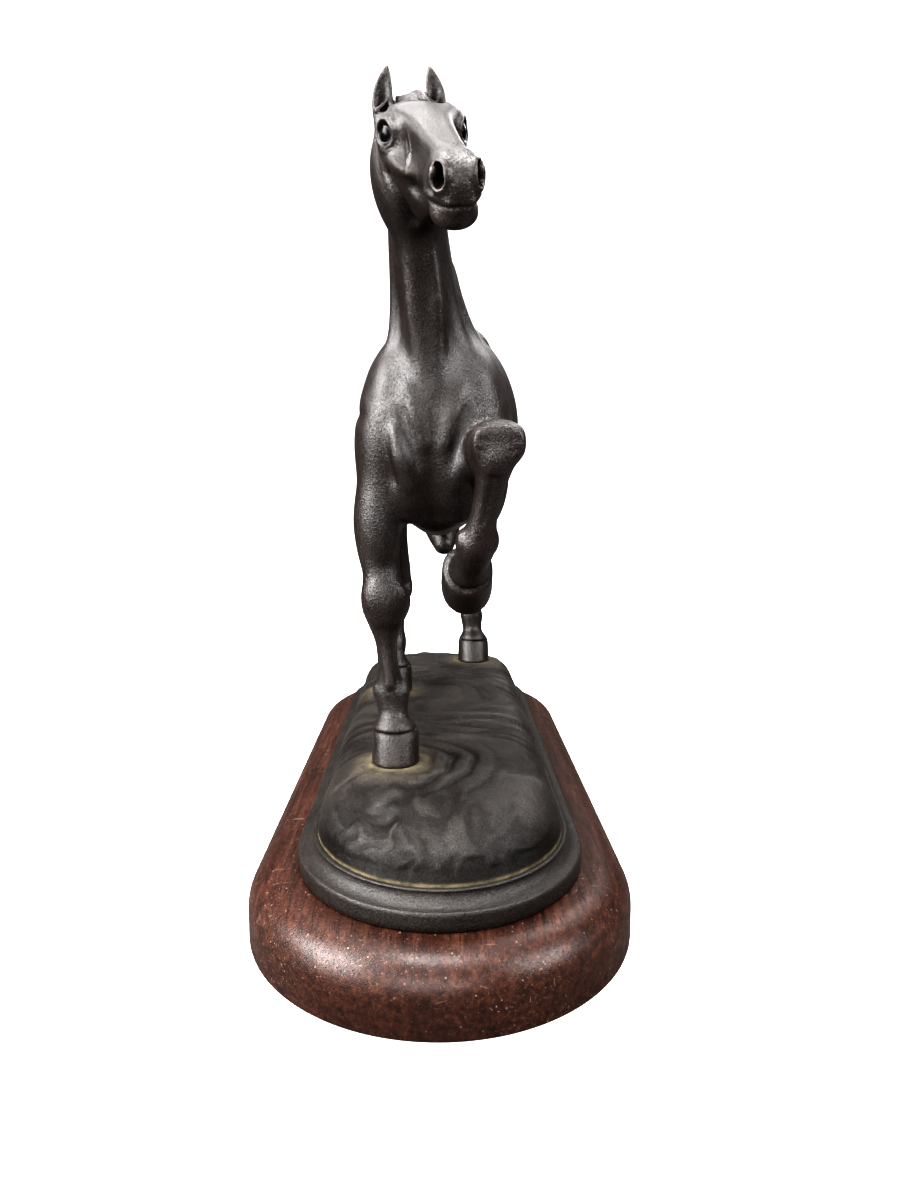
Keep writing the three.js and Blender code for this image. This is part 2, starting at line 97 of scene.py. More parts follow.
class Clay:
    """Signed distance to the horse's skin on a grid that is finer round the head."""

    def __init__(self, xs, ys, zs):
        self.axes = (xs, ys, zs)
        self.f = np.full((len(xs), len(ys), len(zs)), FAR, np.float32)

    def window(self, low, high):
        cuts = []
        for axis, a, b in zip(self.axes, low, high):
            i = int(np.searchsorted(axis, a))
            j = int(np.searchsorted(axis, b))
            cuts.append(slice(max(i, 0), max(j, i + 1)))
        x, y, z = (axis[c] for axis, c in zip(self.axes, cuts))
        return tuple(cuts), (x[:, None, None], y[None, :, None], z[None, None, :])

    def merge(self, cuts, d, k, carve):
        """Adds the shape with distances d to the clay, or carves it away, with a blend k wide."""
        sign = -1 if carve else 1
        self.f[cuts] = sign * smooth_min(sign * self.f[cuts], d, k)

    def soften(self, low, high, times):
        """Blurs the field inside a box, which rounds off small steps."""
        cuts, places = self.window(low, high)
        block = self.f[cuts]
        for _ in range(times):
            for axis, lines in enumerate(places):
                block = blurred(block, axis, np.diff(lines, axis=axis))
        self.f[cuts] = block


def blurred(block, axis, gaps):
    """The block blurred along one axis, with the weights that keep a flat slope as it is."""
    def part(values, start, stop):
        cut = [slice(None)] * 3
        cut[axis] = slice(start, stop)
        return values[tuple(cut)]

    before, after = part(gaps, 0, -1), part(gaps, 1, None)
    half = 0.5 / (before + after)
    out = block.copy()
    inner = part(block, 1, -1) * 0.5 + part(block, 0, -2) * (after * half)
    part(out, 1, -1)[...] = inner + part(block, 2, None) * (before * half)
    return out


def smooth_min(a, b, k):
    if k <= 0:
        return np.minimum(a, b)
    h = np.maximum(k - np.abs(a - b), 0) / k
    return np.minimum(a, b) - h * h * (k * 0.25)


def catmull(rows, steps):
    """A smooth run of rows through the given rows, with steps rows for each span."""
    rows = np.asarray(rows, float)
    padded = np.vstack([2 * rows[0] - rows[1], rows, 2 * rows[-1] - rows[-2]])
    out = []
    for i in range(len(rows) - 1):
        p0, p1, p2, p3 = padded[i:i + 4]
        for s in range(steps):
            t = s / steps
            out.append(0.5 * (2 * p1 + (p2 - p0) * t + (2 * p0 - 5 * p1 + 4 * p2 - p3) * t ** 2
                              + (3 * p1 - p0 - 3 * p2 + p3) * t ** 3))
    out.append(rows[-1])
    return np.array(out)


def offset_along(places, centre, way):
    """How far the grid places lie from the centre in a direction."""
    return sum((p - c) * w for p, c, w in zip(places, centre, way))


def loft(clay, sections, k=0.0, power=2.0, steps=3, side=(1, 0, 0), margin=6.0, carve=False):
    """Adds a loft through sections [x, y, z of the middle, up vector x 3 (half height long),
    half width, pinch at the top, pinch at the bottom]."""
    rows = catmull(sections, steps)
    side = unit(side)
    tops = rows[:, 3:6]
    heights = np.linalg.norm(tops, axis=1)
    widths = np.maximum(rows[:, 6], THINNEST)
    reach = np.maximum(np.abs(tops), np.abs(widths[:, None] * side))
    lows, highs = rows[:, :3] - reach, rows[:, :3] + reach
    low, high = lows.min(0) - margin, highs.max(0) + margin
    cuts, _ = clay.window(low, high)
    whole = np.full(clay.f[cuts].shape, FAR, np.float32)
    spans = np.column_stack([rows[:, :3], tops / heights[:, None], heights, rows[:, 6:9]])
    for i in range(len(rows) - 1):
        span_low = np.maximum(lows[i:i + 2].min(0) - margin, low)
        span_high = np.minimum(highs[i:i + 2].max(0) + margin, high)
        inner, places = clay.window(span_low, span_high)
        spot = tuple(slice(c.start - w.start, c.stop - w.start) for c, w in zip(inner, cuts))
        whole[spot] = np.minimum(whole[spot], span_distance(places, spans[i], spans[i + 1], side, power))
    clay.merge(cuts, whole, k, carve)


def span_distance(places, start, end, side, power):
    """Distance from the loft between two sections [middle x 3, up x 3, half height, half width,
    pinch at the top, pinch at the bottom]."""
    step = end[:3] - start[:3]
    turn = end[3:6] - start[3:6]
    way0, way1 = unit(np.cross(side, start[3:6])), unit(np.cross(side, end[3:6]))
    if np.dot(way0, step) < 0:
        way0, way1 = -way0, -way1
    past_start = offset_along(places, start[:3], way0)
    past_end = offset_along(places, end[:3], way1)
    t = np.clip(past_start / np.maximum(past_start - past_end, 1e-3), 0, 1).astype(np.float32)
    outside = np.maximum(np.maximum(-past_start, past_end), 0)
    offsets = [p - (c + s * t) for p, c, s in zip(places, start[:3], step)]
    high = start[6] + (end[6] - start[6]) * t
    half, pinch, keel = start[7:, None, None, None] + (end - start)[7:, None, None, None] * t
    v = sum(o * (u + w * t) for o, u, w in zip(offsets, start[3:6], turn)) / high
    wide = np.maximum(half, THINNEST) * (1 - pinch * rising(v)) * (1 - keel * rising(-v))
    u = sum(o * w for o, w in zip(offsets, side)) / wide
    au, av = np.abs(u) + TINY, np.abs(v) + TINY
    r = (au ** power + av ** power) ** (1 / power)
    slope = np.sqrt((au ** (power - 1) / wide) ** 2 + (av ** (power - 1) / high) ** 2) / r ** (power - 1)
    d = (r - 1) / slope
    return np.where(outside > 0, np.sqrt(np.maximum(d, 0) ** 2 + outside ** 2), d)


def rising(v):
    """Zero below the middle and one at the top, without a corner between."""
    roundness_at_middle = 0.08
    return np.clip((v + np.sqrt(v * v + roundness_at_middle)) / 2, 0, 1)


def profile(rows):
    """Loft sections from side-view rows [x, top y, top z, bottom y, bottom z, half, pinch, keel]."""
    out = []
    for x, top_y, top_z, bottom_y, bottom_z, half, pinch, keel in rows:
        out.append([x, (top_y + bottom_y) / 2, (top_z + bottom_z) / 2,
                    0, (top_y - bottom_y) / 2, (top_z - bottom_z) / 2, half, pinch, keel])
    return out


def limb(clay, stations, k=1.5, steps=3, power=2.0, carve=False):
    """A limb through stations [x, y, z, half width, half depth]."""
    stations = np.asarray(stations, float)
    sections = []
    for i, (x, y, z, wide, deep) in enumerate(stations):
        before = stations[max(i - 1, 0)][:3]
        after = stations[min(i + 1, len(stations) - 1)][:3]
        along = unit(after - before)
        fore = unit(np.cross(along, (1, 0, 0)))
        sections.append([x, y, z, *(fore * deep), wide, 0, 0])
    loft(clay, sections, k, power=power, steps=steps, carve=carve)


def ball(clay, centre, radii, k=2.0, turn=None, carve=False):
    """An ellipsoid. The rows of turn are its three axes."""
    centre = np.asarray(centre, float)
    radii = np.asarray(radii, float)
    turn = np.eye(3) if turn is None else np.asarray(turn, float)
    reach = np.sqrt(((turn * radii[:, None]) ** 2).sum(0)) + k + MARGIN
    cuts, places = clay.window(centre - reach, centre + reach)
    p = [offset_along(places, centre, axis) for axis in turn]
    k0 = np.sqrt(sum((q / r) ** 2 for q, r in zip(p, radii))) + TINY
    k1 = np.sqrt(sum((q / r ** 2) ** 2 for q, r in zip(p, radii))) + TINY
    clay.merge(cuts, k0 * (k0 - 1) / k1, k, carve)


def string(clay, points, radius, k=1.0, carve=False):
    """A round cord through points, with one radius or one for each point."""
    points = np.asarray(points, float)
    radii = np.broadcast_to(np.asarray(radius, float), len(points))
    rows = catmull(np.hstack([points, radii[:, None]]), 4)
    pad = radii.max() + k + MARGIN
    cuts, places = clay.window(rows[:, :3].min(0) - pad, rows[:, :3].max(0) + pad)
    d = np.full(clay.f[cuts].shape, FAR, np.float32)
    for a, b in zip(rows[:-1], rows[1:]):
        step = b[:3] - a[:3]
        t = np.clip(offset_along(places, a, step) / max(step @ step, TINY), 0, 1)
        gap = np.sqrt(sum((p - o - s * t) ** 2 for p, o, s in zip(places, a, step)))
        d = np.minimum(d, gap - (a[3] + (b[3] - a[3]) * t))
    clay.merge(cuts, d, k, carve)


def settle(clay, points, lift=0.0):
    """The points moved onto the skin, or onto the surface that lies lift above it."""
    places = np.asarray(points, float).copy()
    for _ in range(5):
        steps = np.stack([np.interp(places[:, i], a, np.arange(len(a))) for i, a in enumerate(clay.axes)], 1)
        value, slope = sample(clay, steps)
        places -= slope * ((value - lift) / np.maximum((slope ** 2).sum(1), 0.1))[:, None]
    return places


def laid(clay, points, lift, radii, k, carve=False):
    """A cord laid on the skin, with its middle line lift above it."""
    string(clay, settle(clay, points, lift), radii, k, carve)


def mirrored(side, points, middle=0.0):
    """Points given for the +X side of the plane X = middle, on the side asked for."""
    return [(middle + side * x, y, z) for x, y, z in points]


def lumps(clay, table, side=1, middle=0.0, carve=False):
    """The balls of a table {name: (place, radii, blend, turn about X, turn about Y)}, on one side."""
    for place, radii, k, lean, tilt in table.values():
        centre, = mirrored(side, [place], middle)
        ball(clay, centre, radii, k, turned(lean, side * tilt), carve)


def turned(about_x=0.0, about_y=0.0):
    """Axes whose Z leans back for a positive turn about X, and to +X for one about Y."""
    a, b = math.radians(about_x), math.radians(about_y)
    back = np.array([[1, 0, 0], [0, math.cos(a), -math.sin(a)], [0, math.sin(a), math.cos(a)]])
    over = np.array([[math.cos(b), 0, -math.sin(b)], [0, 1, 0], [math.sin(b), 0, math.cos(b)]])
    return over @ back if about_y else back


# ---------------- the horse's trunk

# Side-view rows: [x, top y, top z, bottom y, bottom z, half width, pinch, keel].
TORSO = [
    [-1, -98, 248, -98, 155, 25, 0.68, 0.2],
    [-1, -84, 257, -84, 152, 27, 0.74, 0.16],
    [-0.5, -68, 260.5, -68, 150, 29.5, 0.76, 0.1],
    [-0.2, -55, 258, -55, 150.5, 32.5, 0.66, 0.1],
    [0, -40, 254, -40, 153, 34.5, 0.46, 0.1],
    [0, -20, 251, -20, 158, 35.5, 0.3, 0.1],
    [0, 0, 251, 0, 162.5, 34, 0.26, 0.1],
    [0, 18, 254, 18, 169, 31, 0.3, 0.1],
    [0, 36, 257, 36, 177, 30, 0.32, 0.1],
    [0, 52, 254.5, 52, 184, 27.5, 0.32, 0],
    [0, 64, 248, 64, 190, 23, 0.25, 0],
]

NECK = [
    [-1.2, -50, 244, -96, 176, 11, 0.66, 0.1],
    [-2.4, -69, 264, -112, 194, 15.5, 0.7, 0.1],
    [-3.4, -80, 272.5, -119, 208, 13.6, 0.68, 0.12],
    [-4.9, -92, 281, -123, 222, 11.8, 0.6, 0.15],
    [-6.7, -105, 290.5, -126.5, 236, 11.0, 0.5, 0.15],
    [-8.3, -118, 297.5, -131, 248, 10.9, 0.42, 0.15],
    [-9.3, -129, 300.5, -136, 258, 10.8, 0.36, 0.1],
    [-9.6, -139, 298, -141, 266, 9.6, 0.3, 0.1],
]

CHEST_X = -2    # the chest is turned a little, so its middle line lies off the axis


def model_trunk(clay):
    loft(clay, profile(TORSO), steps=4)
    lumps(clay, CHEST, middle=CHEST_X)
    loft(clay, profile(NECK), k=12, steps=4)
    for side in (-1, 1):
        fore_quarter(clay, side)
        hind_quarter(clay, side)
    clay.soften((-34, -134, 200), (30, -90, 250), 7)    # the neck runs into the breast
    neck_muscles(clay)
    for side in (-1, 1):
        breast_muscles(clay, side)
    clay.soften(*everywhere(clay), 2)
    clay.soften((-20, -100, 244), (20, -40, 282), 8)    # the dip between the crest and the withers
    # the parting between the buttocks, below the tail
    string(clay, [(0, 80, 236), (0, 79, 220), (0, 74, 200), (0, 66, 184)], 1, 5, carve=True)


def everywhere(clay):
    return [a[0] for a in clay.axes], [a[-1] for a in clay.axes]


# Balls for the horse's left side: (place, radii, blend, turn about X, turn about Y). Those of the
# chest and the fore quarter are placed from the middle line of the chest.
CHEST = {"chest": ((0, -93, 194), (25.5, 27, 38), 8, 0, 0)}
FORE_QUARTER = {
    "shoulder blade": ((14.5, -82, 212), (8, 14, 28), 9, 20, -17),
    "point of the shoulder": ((17.6, -101, 206), (8, 14, 16), 11, 0, 0),
    "arm": ((20.5, -98, 188), (9, 16, 17), 10, 0, 0),
    "elbow muscle": ((19, -84, 184), (11, 18, 17), 8, 0, 0),
    "breast": ((10, -110.5, 190), (10.5, 10.2, 20), 4, 8, 12),
    "lower breast": ((9, -105, 171), (10.5, 11, 13), 6, 0, 0),
}
HIND_QUARTER = {
    "barrel": ((16, -40, 196), (16.4, 42, 34), 16, 0, 0),
    "haunch": ((16, 40, 227), (15, 28, 25), 9, -25, 0),
    "hip": ((14.8, 20, 240), (8, 13, 9), 13, 0, 0),
    "buttock": ((12.5, 62, 213), (12, 15, 25), 9, 10, 0),
}
FLANK_HOLLOW = {"flank": ((35.5, 6, 212), (4, 9, 20), 9, -12, 0)}


def fore_quarter(clay, side):
    """Shoulder blade, point of the shoulder, arm and breast muscle of one side."""
    lumps(clay, FORE_QUARTER, side, CHEST_X)
    beside_breast = [(17.5, -121, 210), (19, -121, 198), (19, -119.5, 186), (17, -116, 175)]
    string(clay, mirrored(side, beside_breast, CHEST_X), 0.5, 6, carve=True)
    over_arm = [(28, -112, 198.5), (30, -104, 198), (30, -92, 202)]
    string(clay, mirrored(side, over_arm, CHEST_X), 0.1, 5, carve=True)
    fold_to_elbow = [(0, -106, 158.4), (10, -109, 160), (17, -107, 165)]
    laid(clay, mirrored(side, fold_to_elbow, CHEST_X), -0.6, [1.6, 1.6, 0.6], 3)


def hind_quarter(clay, side):
    """Barrel, flank, hip, haunch and buttock of one side."""
    lumps(clay, HIND_QUARTER, side)
    lumps(clay, FLANK_HOLLOW, side, carve=True)
    flank_fold = [(20, -10, 163.5), (25, 6, 172), (28, 20, 190)]
    laid(clay, mirrored(side, flank_fold), -1.4, [0.8, 2.4, 0.8], 6)
    behind_thigh = [(24, 57, 226), (27, 60, 212), (28, 59, 198), (27, 55, 186)]
    laid(clay, mirrored(side, behind_thigh), 1.6, [0.2, 1.2, 1.2, 0.2], 9, carve=True)


def breast_muscles(clay, side):
    """Two slanting ridges on each side of the breast, with a hollow between them."""
    upper = [(10.5, -121.5, 207), (7, -122, 198), (4, -121.6, 188)]
    laid(clay, mirrored(side, upper, CHEST_X), -1.2, [1.2, 2.6, 1.2], 5)
    lower = [(15, -119, 191), (12, -119, 182), (9.5, -117.4, 173)]
    laid(clay, mirrored(side, lower, CHEST_X), -1.2, [1.2, 2.8, 1.2], 5)
    hollow = [(12.5, -121, 200), (9.5, -121, 190), (7, -119, 180)]
    laid(clay, mirrored(side, hollow, CHEST_X), 0.6, [0.4, 1.3, 0.4], 4, carve=True)


# Cords of the neck on each side (-1 is the horse's right), from the jaw down to the shoulder
WINDPIPE = [(-3.4, -124, 212), (-4, -127, 226), (-4.6, -131, 240), (-5.4, -137, 252)]
INNER_CORD = {-1: [(-10.4, -131, 256), (-9.6, -124.6, 240), (-8, -119.8, 226), (-5.8, -117.6, 213)],
              1: [(-1.6, -131, 256), (-0.8, -125, 240), (-0.6, -120.4, 227), (-0.6, -118.4, 213)]}
OUTER_CORD = {-1: [(-16.8, -124, 272), (-15.6, -117, 257), (-15.6, -110, 240), (-17, -106, 223),
                   (-20, -103, 211)],
              1: [(-2.4, -124, 270), (-1, -118, 257), (3.4, -111, 240), (9, -106, 222), (14, -103, 211)]}


def neck_muscles(clay):
    string(clay, WINDPIPE, 1.3, 3.4, carve=True)
    for side in (-1, 1):
        string(clay, OUTER_CORD[side], [0.6, 2.6, 3, 2.8, 0.8], 4)
        string(clay, INNER_CORD[side], [1, 2.5, 2.6, 0.8], 3)


MANE_LOCKS = 25
LOCK_LENGTH = 13


def mane(clay):
    """A short mane: a ridge along the crest, with locks laid over to the horse's right."""
    crest = catmull([row[:3] for row in NECK[1:]], 8)
    ridge = settle(clay, crest[4::6], 0.2)
    string(clay, ridge, [0.4] + [1.4] * (len(ridge) - 2) + [0.8], 2)
    for lock in range(MANE_LOCKS):
        x, y, z = crest[2 + lock * (len(crest) - 3) // MANE_LOCKS]
        long = LOCK_LENGTH + 3 * math.sin(lock * 2.4)
        run = [(x - 2.5, y, z - 0.6), (x - 6, y + 1, z - long * 0.32), (x - 9, y + 3, z - long * 0.65),
               (x - 10.5, y + 6 + math.sin(lock * 1.7), z - long)]
        laid(clay, run, -0.1, [0.5, 1.3, 1.1, 0.3], 0.8)


# ---------------- legs

RIGHT_FORE = [
    [-17, -96, 198, 10, 20],
    [-21, -98, 180, 10.4, 16],
    [-23.4, -99, 166, 10.2, 13.6],
    [-24.4, -100, 156, 9.6, 11.6],
    [-24.2, -101, 145, 8.2, 9.2],
    [-23, -102.4, 136, 7.6, 8],
    [-22, -103.4, 129, 9.4, 8.6],
    [-21.6, -103.2, 123, 9.4, 8.4],
    [-21.8, -102, 117, 7, 7.4],
    [-21.7, -101.4, 109, 4.2, 6.2],
    [-21.3, -101, 100, 3.9, 6],
    [-20.6, -100.8, 94.6, 4.9, 6.6],
    [-19.8, -100.8, 89, 7.1, 7.6],
    [-19.4, -101.6, 84, 6.6, 7],
    [-19, -102.8, 79.5, 6.1, 6.6],
    [-18.5, -103.6, 76, 8.2, 8.8],
    [-18.3, -103.8, 74, 9.3, 9.9],
]

LEFT_FORE = [
    [15, -92, 196, 10, 18],
    [17.6, -104, 185, 9, 15],
    [19, -118, 183.5, 8.6, 12.4],
    [19.4, -132, 184.5, 8.2, 10.2],
    [19.4, -145, 186.2, 7.6, 8.2],
    [19.2, -156, 187, 7.6, 7.2],
    [19.2, -162, 186.4, 7, 6],
]

LEFT_KNEE = [
    [19.3, -155, 186.6, 8.2, 6.2],
    [19.2, -159, 186.8, 8.9, 6.9],
    [19.1, -164, 186.8, 8.9, 6.7],
    [19.1, -166.6, 186.4, 8, 5.4],
]

LEFT_SHANK = [
    [18.8, -160.5, 189, 7.4, 5.6],
    [18.8, -160.5, 183, 7.4, 7],
    [17.8, -158, 177, 6, 6.4],
    [16.5, -155.2, 170, 4.9, 5.8],
    [15.2, -152.6, 163.5, 4.7, 5.8],
    [14.2, -150.4, 158.5, 5.4, 6.4],
    [13, -148, 153.6, 7.1, 7.4],
    [12.4, -144, 149.4, 6.6, 6.8],
    [11.6, -139.5, 146, 6.2, 6.2],
    [10.9, -135, 143, 7.6, 7.6],
    [10.6, -133, 141.4, 7.4, 7.4],
]

LEFT_HIND = [
    [12, 46, 222, 9, 20],
    [19, 44, 206, 13, 27],
    [23.4, 42, 190, 14.3, 27],
    [26.4, 45, 176, 12.4, 21],
    [27.4, 56, 163, 10.2, 14.4],
    [26.2, 69, 152, 7.8, 10.2],
    [24.4, 81, 143.5, 6.4, 8.6],
    [22.8, 90, 139, 6.4, 9],
    [22.4, 95, 137, 5, 7],
]

LEFT_HIND_SHANK = [
    [23, 93.5, 146, 3.6, 4],
    [22.8, 93, 139, 6.4, 8.4],
    [22.2, 92.6, 132, 6.8, 8.6],
    [21.4, 93.4, 124, 5.4, 7],
    [20.9, 94.6, 112, 4.5, 6],
    [20.5, 96.4, 100, 4.6, 6],
    [20.3, 97.8, 94.5, 5.4, 6.6],
    [20.3, 98.6, 89, 7, 7.4],
    [20.5, 98, 84, 6.3, 6.8],
    [20.8, 97, 79.5, 6, 6.2],
    [21.2, 96.2, 76, 8, 8.6],
    [21.3, 96, 74, 9.2, 9.8],
]

RIGHT_HIND = [
    [-12, 43, 222, 9, 20],
    [-18.6, 37, 206, 13, 27],
    [-22.8, 30, 190, 14.3, 27],
    [-25.6, 24, 176, 12.6, 22],
    [-26.2, 25, 162, 10.6, 16],
    [-25.2, 31.5, 147, 7.8, 10.4],
    [-23.4, 39.5, 133, 6.4, 8.6],
    [-22.2, 46.5, 121.5, 6.2, 8.6],
    [-22, 49, 117, 5, 6],
]

RIGHT_HIND_SHANK = [
    [-22, 55, 124.5, 3.4, 4],
    [-22, 51.6, 118, 6, 7],
    [-22, 47.6, 112.4, 6.2, 7.6],
    [-22.6, 41.6, 106, 5, 6.4],
    [-23.4, 34.6, 99, 4.4, 5.8],
    [-24, 28, 92.6, 4.8, 6],
    [-24.4, 23.4, 87.6, 6.4, 7.2],
    [-24.6, 21, 83.6, 6.6, 7.2],
    [-24.6, 19.4, 79.5, 6, 6.6],
    [-24.5, 18.8, 76, 8, 8.8],
    [-24.4, 18.6, 74, 9.2, 9.8],
]

# [share of the height, half width, half length, shift back] of the hoof wall, from the sole up
HOOF_WALL = [
    (0.0, 9.7, 11.4, -0.6),
    (0.3, 9.6, 11.0, 0.0),
    (0.65, 9.45, 10.4, 0.8),
    (0.92, 9.3, 9.8, 1.4),
    (1.0, 9.0, 9.4, 1.6),
    (1.04, 8.2, 8.6, 1.7),
]
HOOF_HEIGHT = 12.5
CORONET = (9.5, 10, 1.4)            # half width, half length and shift back of the groove over the hoof
RAISED_SOLE = (10.2, -122.6, 135.4)
RAISED_TURN = 66                    # degrees that the raised hoof leans back


def hoof(clay, sole, turn_degrees=0.0):
    """A hoof on the centre of its sole: a drum that leans back, with a ledge at the coronet."""
    a = math.radians(turn_degrees)
    up = np.array([0, -math.sin(a), math.cos(a)])
    back = np.array([0, math.cos(a), math.sin(a)])
    sections = []
    for level, wide, long, shift in HOOF_WALL:
        centre = np.asarray(sole) + up * level * HOOF_HEIGHT + back * shift
        sections.append([*centre, *(back * long), wide, -0.03, 0.06])
    loft(clay, sections, 0.3, power=2.3, steps=2)
    wide, long, shift = CORONET
    centre = np.asarray(sole) + up * HOOF_HEIGHT + back * shift
    angles = np.linspace(0, 2 * math.pi, 21)
    ring = [centre + np.array([wide, 0, 0]) * math.cos(a) + back * long * math.sin(a) for a in angles]
    string(clay, ring, 0.55, 0.3, carve=True)


def model_legs(clay):
    limb(clay, RIGHT_FORE, 5)
    limb(clay, LEFT_FORE, 5)
    limb(clay, LEFT_KNEE, 3.4, power=2.8)
    limb(clay, LEFT_SHANK, 2)
    for thigh, shank in ((LEFT_HIND, LEFT_HIND_SHANK), (RIGHT_HIND, RIGHT_HIND_SHANK)):
        limb(clay, thigh, 6)
        limb(clay, shank, 2)
    for x, y in SOLES.values():
        hoof(clay, (x, y, GROUND))
    hoof(clay, RAISED_SOLE, RAISED_TURN)
    fore_details(clay)
    raised_details(clay)
    hind_details(clay, LEFT_HIND_SHANK, INNER_THIGHS[0])
    hind_details(clay, RIGHT_HIND_SHANK, INNER_THIGHS[1])
    sheath(clay)


# Balls as (place, radii, blend, turn about X, turn about Y)
FOREARM = {
    "outer forearm": ((-27.4, -100, 156), (4.4, 8, 14), 4, 4, 0),
    "front of the forearm": ((-22.6, -108, 157), (6, 4.6, 14), 4, 0, 0),
    "back of the forearm": ((-20, -92, 166), (6, 7, 14), 3, 0, 0),
    "front of the knee": ((-21, -107.8, 128.6), (7.4, 3.4, 6.4), 4, 0, 0),
    "foot of the knee": ((-21.4, -107.4, 119.4), (6, 3, 3.2), 2, 0, 0),
    "back of the knee": ((-20.6, -97.4, 127), (3.2, 3.4, 5), 3, 0, 0),
}
ERGOT = {"ergot": ((-19.6, -94.2, 87.5), (4.4, 3.2, 3.6), 2, 0, 0)}
KNEE_SIDE = {"knee": ((6.6, -103, 127), (2.2, 4.2, 4.6), 1.6, 0, 0)}
FETLOCK_SIDE = {"fetlock": ((5.2, -101, 89.5), (2.2, 4, 3.8), 1.6, 0, 0)}
RAISED_FETLOCK = {"fetlock": ((5.2, -148.4, 153.8), (2.2, 4, 3.8), 1.6, 0, 0)}
RAISED_KNEE = {"knee cap": ((18.4, -163.4, 180), (5.4, 3, 4), 2, 0, 0)}
RAISED_FOREARM = {
    "lower forearm": ((19, -132, 178), (6.4, 12, 5), 3, 0, 0),
    "inner forearm": ((14, -130, 186), (4, 12, 6), 3, 0, 0),
}
SHEATH = {"belly": ((0, 20, 160), (11, 30, 12), 11, 0, 0)}
# Centres of the balls inside the two hind legs, left first
INNER_THIGHS = [(24, 32.6, 168), (-24, 21.6, 168)]


def sheath(clay):
    lumps(clay, SHEATH)
    string(clay, [(0.6, 12, 154), (1.8, 2, 148), (2.4, -7, 141.4)], [9.4, 8.4, 5.2], 8)
    string(clay, [(2.4, -9, 137), (2.5, -13, 134)], 0.9, 2.4, carve=True)


def fore_details(clay):
    """Muscles, tendons and joints of the standing foreleg."""
    lumps(clay, FOREARM)
    string(clay, [(-21.4, -96.6, 118), (-21.4, -95.8, 106), (-20.2, -95.2, 94)], 2.1, 1.6)
    string(clay, [(-20.8, -106.6, 118), (-20.8, -106.2, 106), (-20, -107, 93)], 1.9, 1.6)
    lumps(clay, ERGOT)
    for side in (-1, 1):
        lumps(clay, KNEE_SIDE, side, -20.6)
        lumps(clay, FETLOCK_SIDE, side, -19.8)
        string(clay, [(-21.6 + side * 3.8, -99, 116), (-21.4 + side * 3, -98.8, 104),
                      (-20.4 + side * 3.6, -98.6, 93)], 1, 1.4)


def raised_details(clay):
    """The bent knee and shank of the raised foreleg."""
    for side in (-1, 1):
        lumps(clay, RAISED_FETLOCK, side, 13)
    lumps(clay, RAISED_KNEE)
    front_groove = [(17.6, -164, 176), (16.6, -161, 169), (14.8, -157.5, 161)]
    laid(clay, front_groove, 0.2, [0.3, 0.7, 0.3], 2, carve=True)
    string(clay, [(18.2, -151, 177), (16.6, -148.4, 168), (14.4, -144.6, 158)], 2, 1.6)
    lumps(clay, RAISED_FOREARM)


def hind_details(clay, shank, inner_thigh):
    """Point of the hock, its two cheeks and the inner thigh of a hind leg."""
    point, hock = np.array(shank[0][:3]), np.array(shank[2][:3])
    ball(clay, point + (0, 0.6, -1), (3.2, 3.6, 4.6), 2.4)
    for cheek_side in (-1, 1):
        ball(clay, hock + (cheek_side * 4.6, 0, 0), (2.2, 4.8, 5), 1.8)
    ball(clay, inner_thigh, (9, 14, 11), 5)


# ---------------- mesh from clay

LEAST_SLOPE = 0.05      # of the field, squared: keeps a vertex from leaping where the field is flat
LONGEST_MOVE = 0.5      # mm, for one correction of a vertex


def skin_of(clay):
    """Vertices (mm), quads and outward normals of the clay's skin."""
    grid = openvdb.FloatGrid(FAR)
    grid.copyFromArray(clay.f)
    points, quads = grid.convertToQuads(isovalue=0.0)
    points = points.astype(np.float64)
    quads = quads.astype(np.int64)
    for _ in range(2):
        value, slope = sample(clay, points)
        move = -value / np.maximum((slope ** 2).sum(1), LEAST_SLOPE)
        move = np.clip(slope * move[:, None], -LONGEST_MOVE, LONGEST_MOVE)
        points = points + move / grid_pitch(clay, points)
    value, slope = sample(clay, points)
    normals = slope / np.maximum(np.linalg.norm(slope, axis=1), 1e-6)[:, None]
    places = np.stack([np.interp(points[:, i], np.arange(len(a)), a) for i, a in enumerate(clay.axes)], 1)
    return places, quads, normals


def roundness(places, quads, normals, spread):
    """How strongly the skin bulges (+) or hollows (-) at each vertex, per mm, spread over its
    neighbours."""
    ends = np.vstack([quads[:, [i, (i + 1) % 4]] for i in range(4)])
    a, b = ends[:, 0], ends[:, 1]
    way = places[b] - places[a]
    count = len(places)

    def gather(at_a, at_b):
        return np.bincount(a, at_a, count) + np.bincount(b, at_b, count)

    bend = ((normals[b] - normals[a]) * way).sum(1)
    length = (way ** 2).sum(1)
    one = np.ones(len(a))
    amount = gather(bend, bend) / np.maximum(gather(length, length), 1e-9)
    number = np.maximum(gather(one, one), 1)
    kept = 0.3
    for _ in range(spread):
        amount = amount * kept + (1 - kept) * gather(amount[b], amount[a]) / number
    return amount


def grid_pitch(clay, points):
    """Millimetres between grid lines at each point, given in grid steps."""
    out = []
    for i, axis in enumerate(clay.axes):
        cell = np.clip(np.floor(points[:, i]).astype(int), 0, len(axis) - 2)
        out.append(np.diff(axis)[cell])
    return np.stack(out, 1)


def trilinear(values, points):
    """Values between grid points, for points in grid steps."""
    base = np.floor(points).astype(int)
    base = np.clip(base, 0, np.array(values.shape[:3]) - 2)
    t = np.clip(points - base, 0, 1)
    total = 0
    for corner in range(8):
        offset = np.array([corner & 1, corner >> 1 & 1, corner >> 2 & 1])
        weight = np.prod(np.where(offset == 1, t, 1 - t), axis=1)
        i, j, k = (base + offset).T
        total = total + values[i, j, k] * weight
    return total


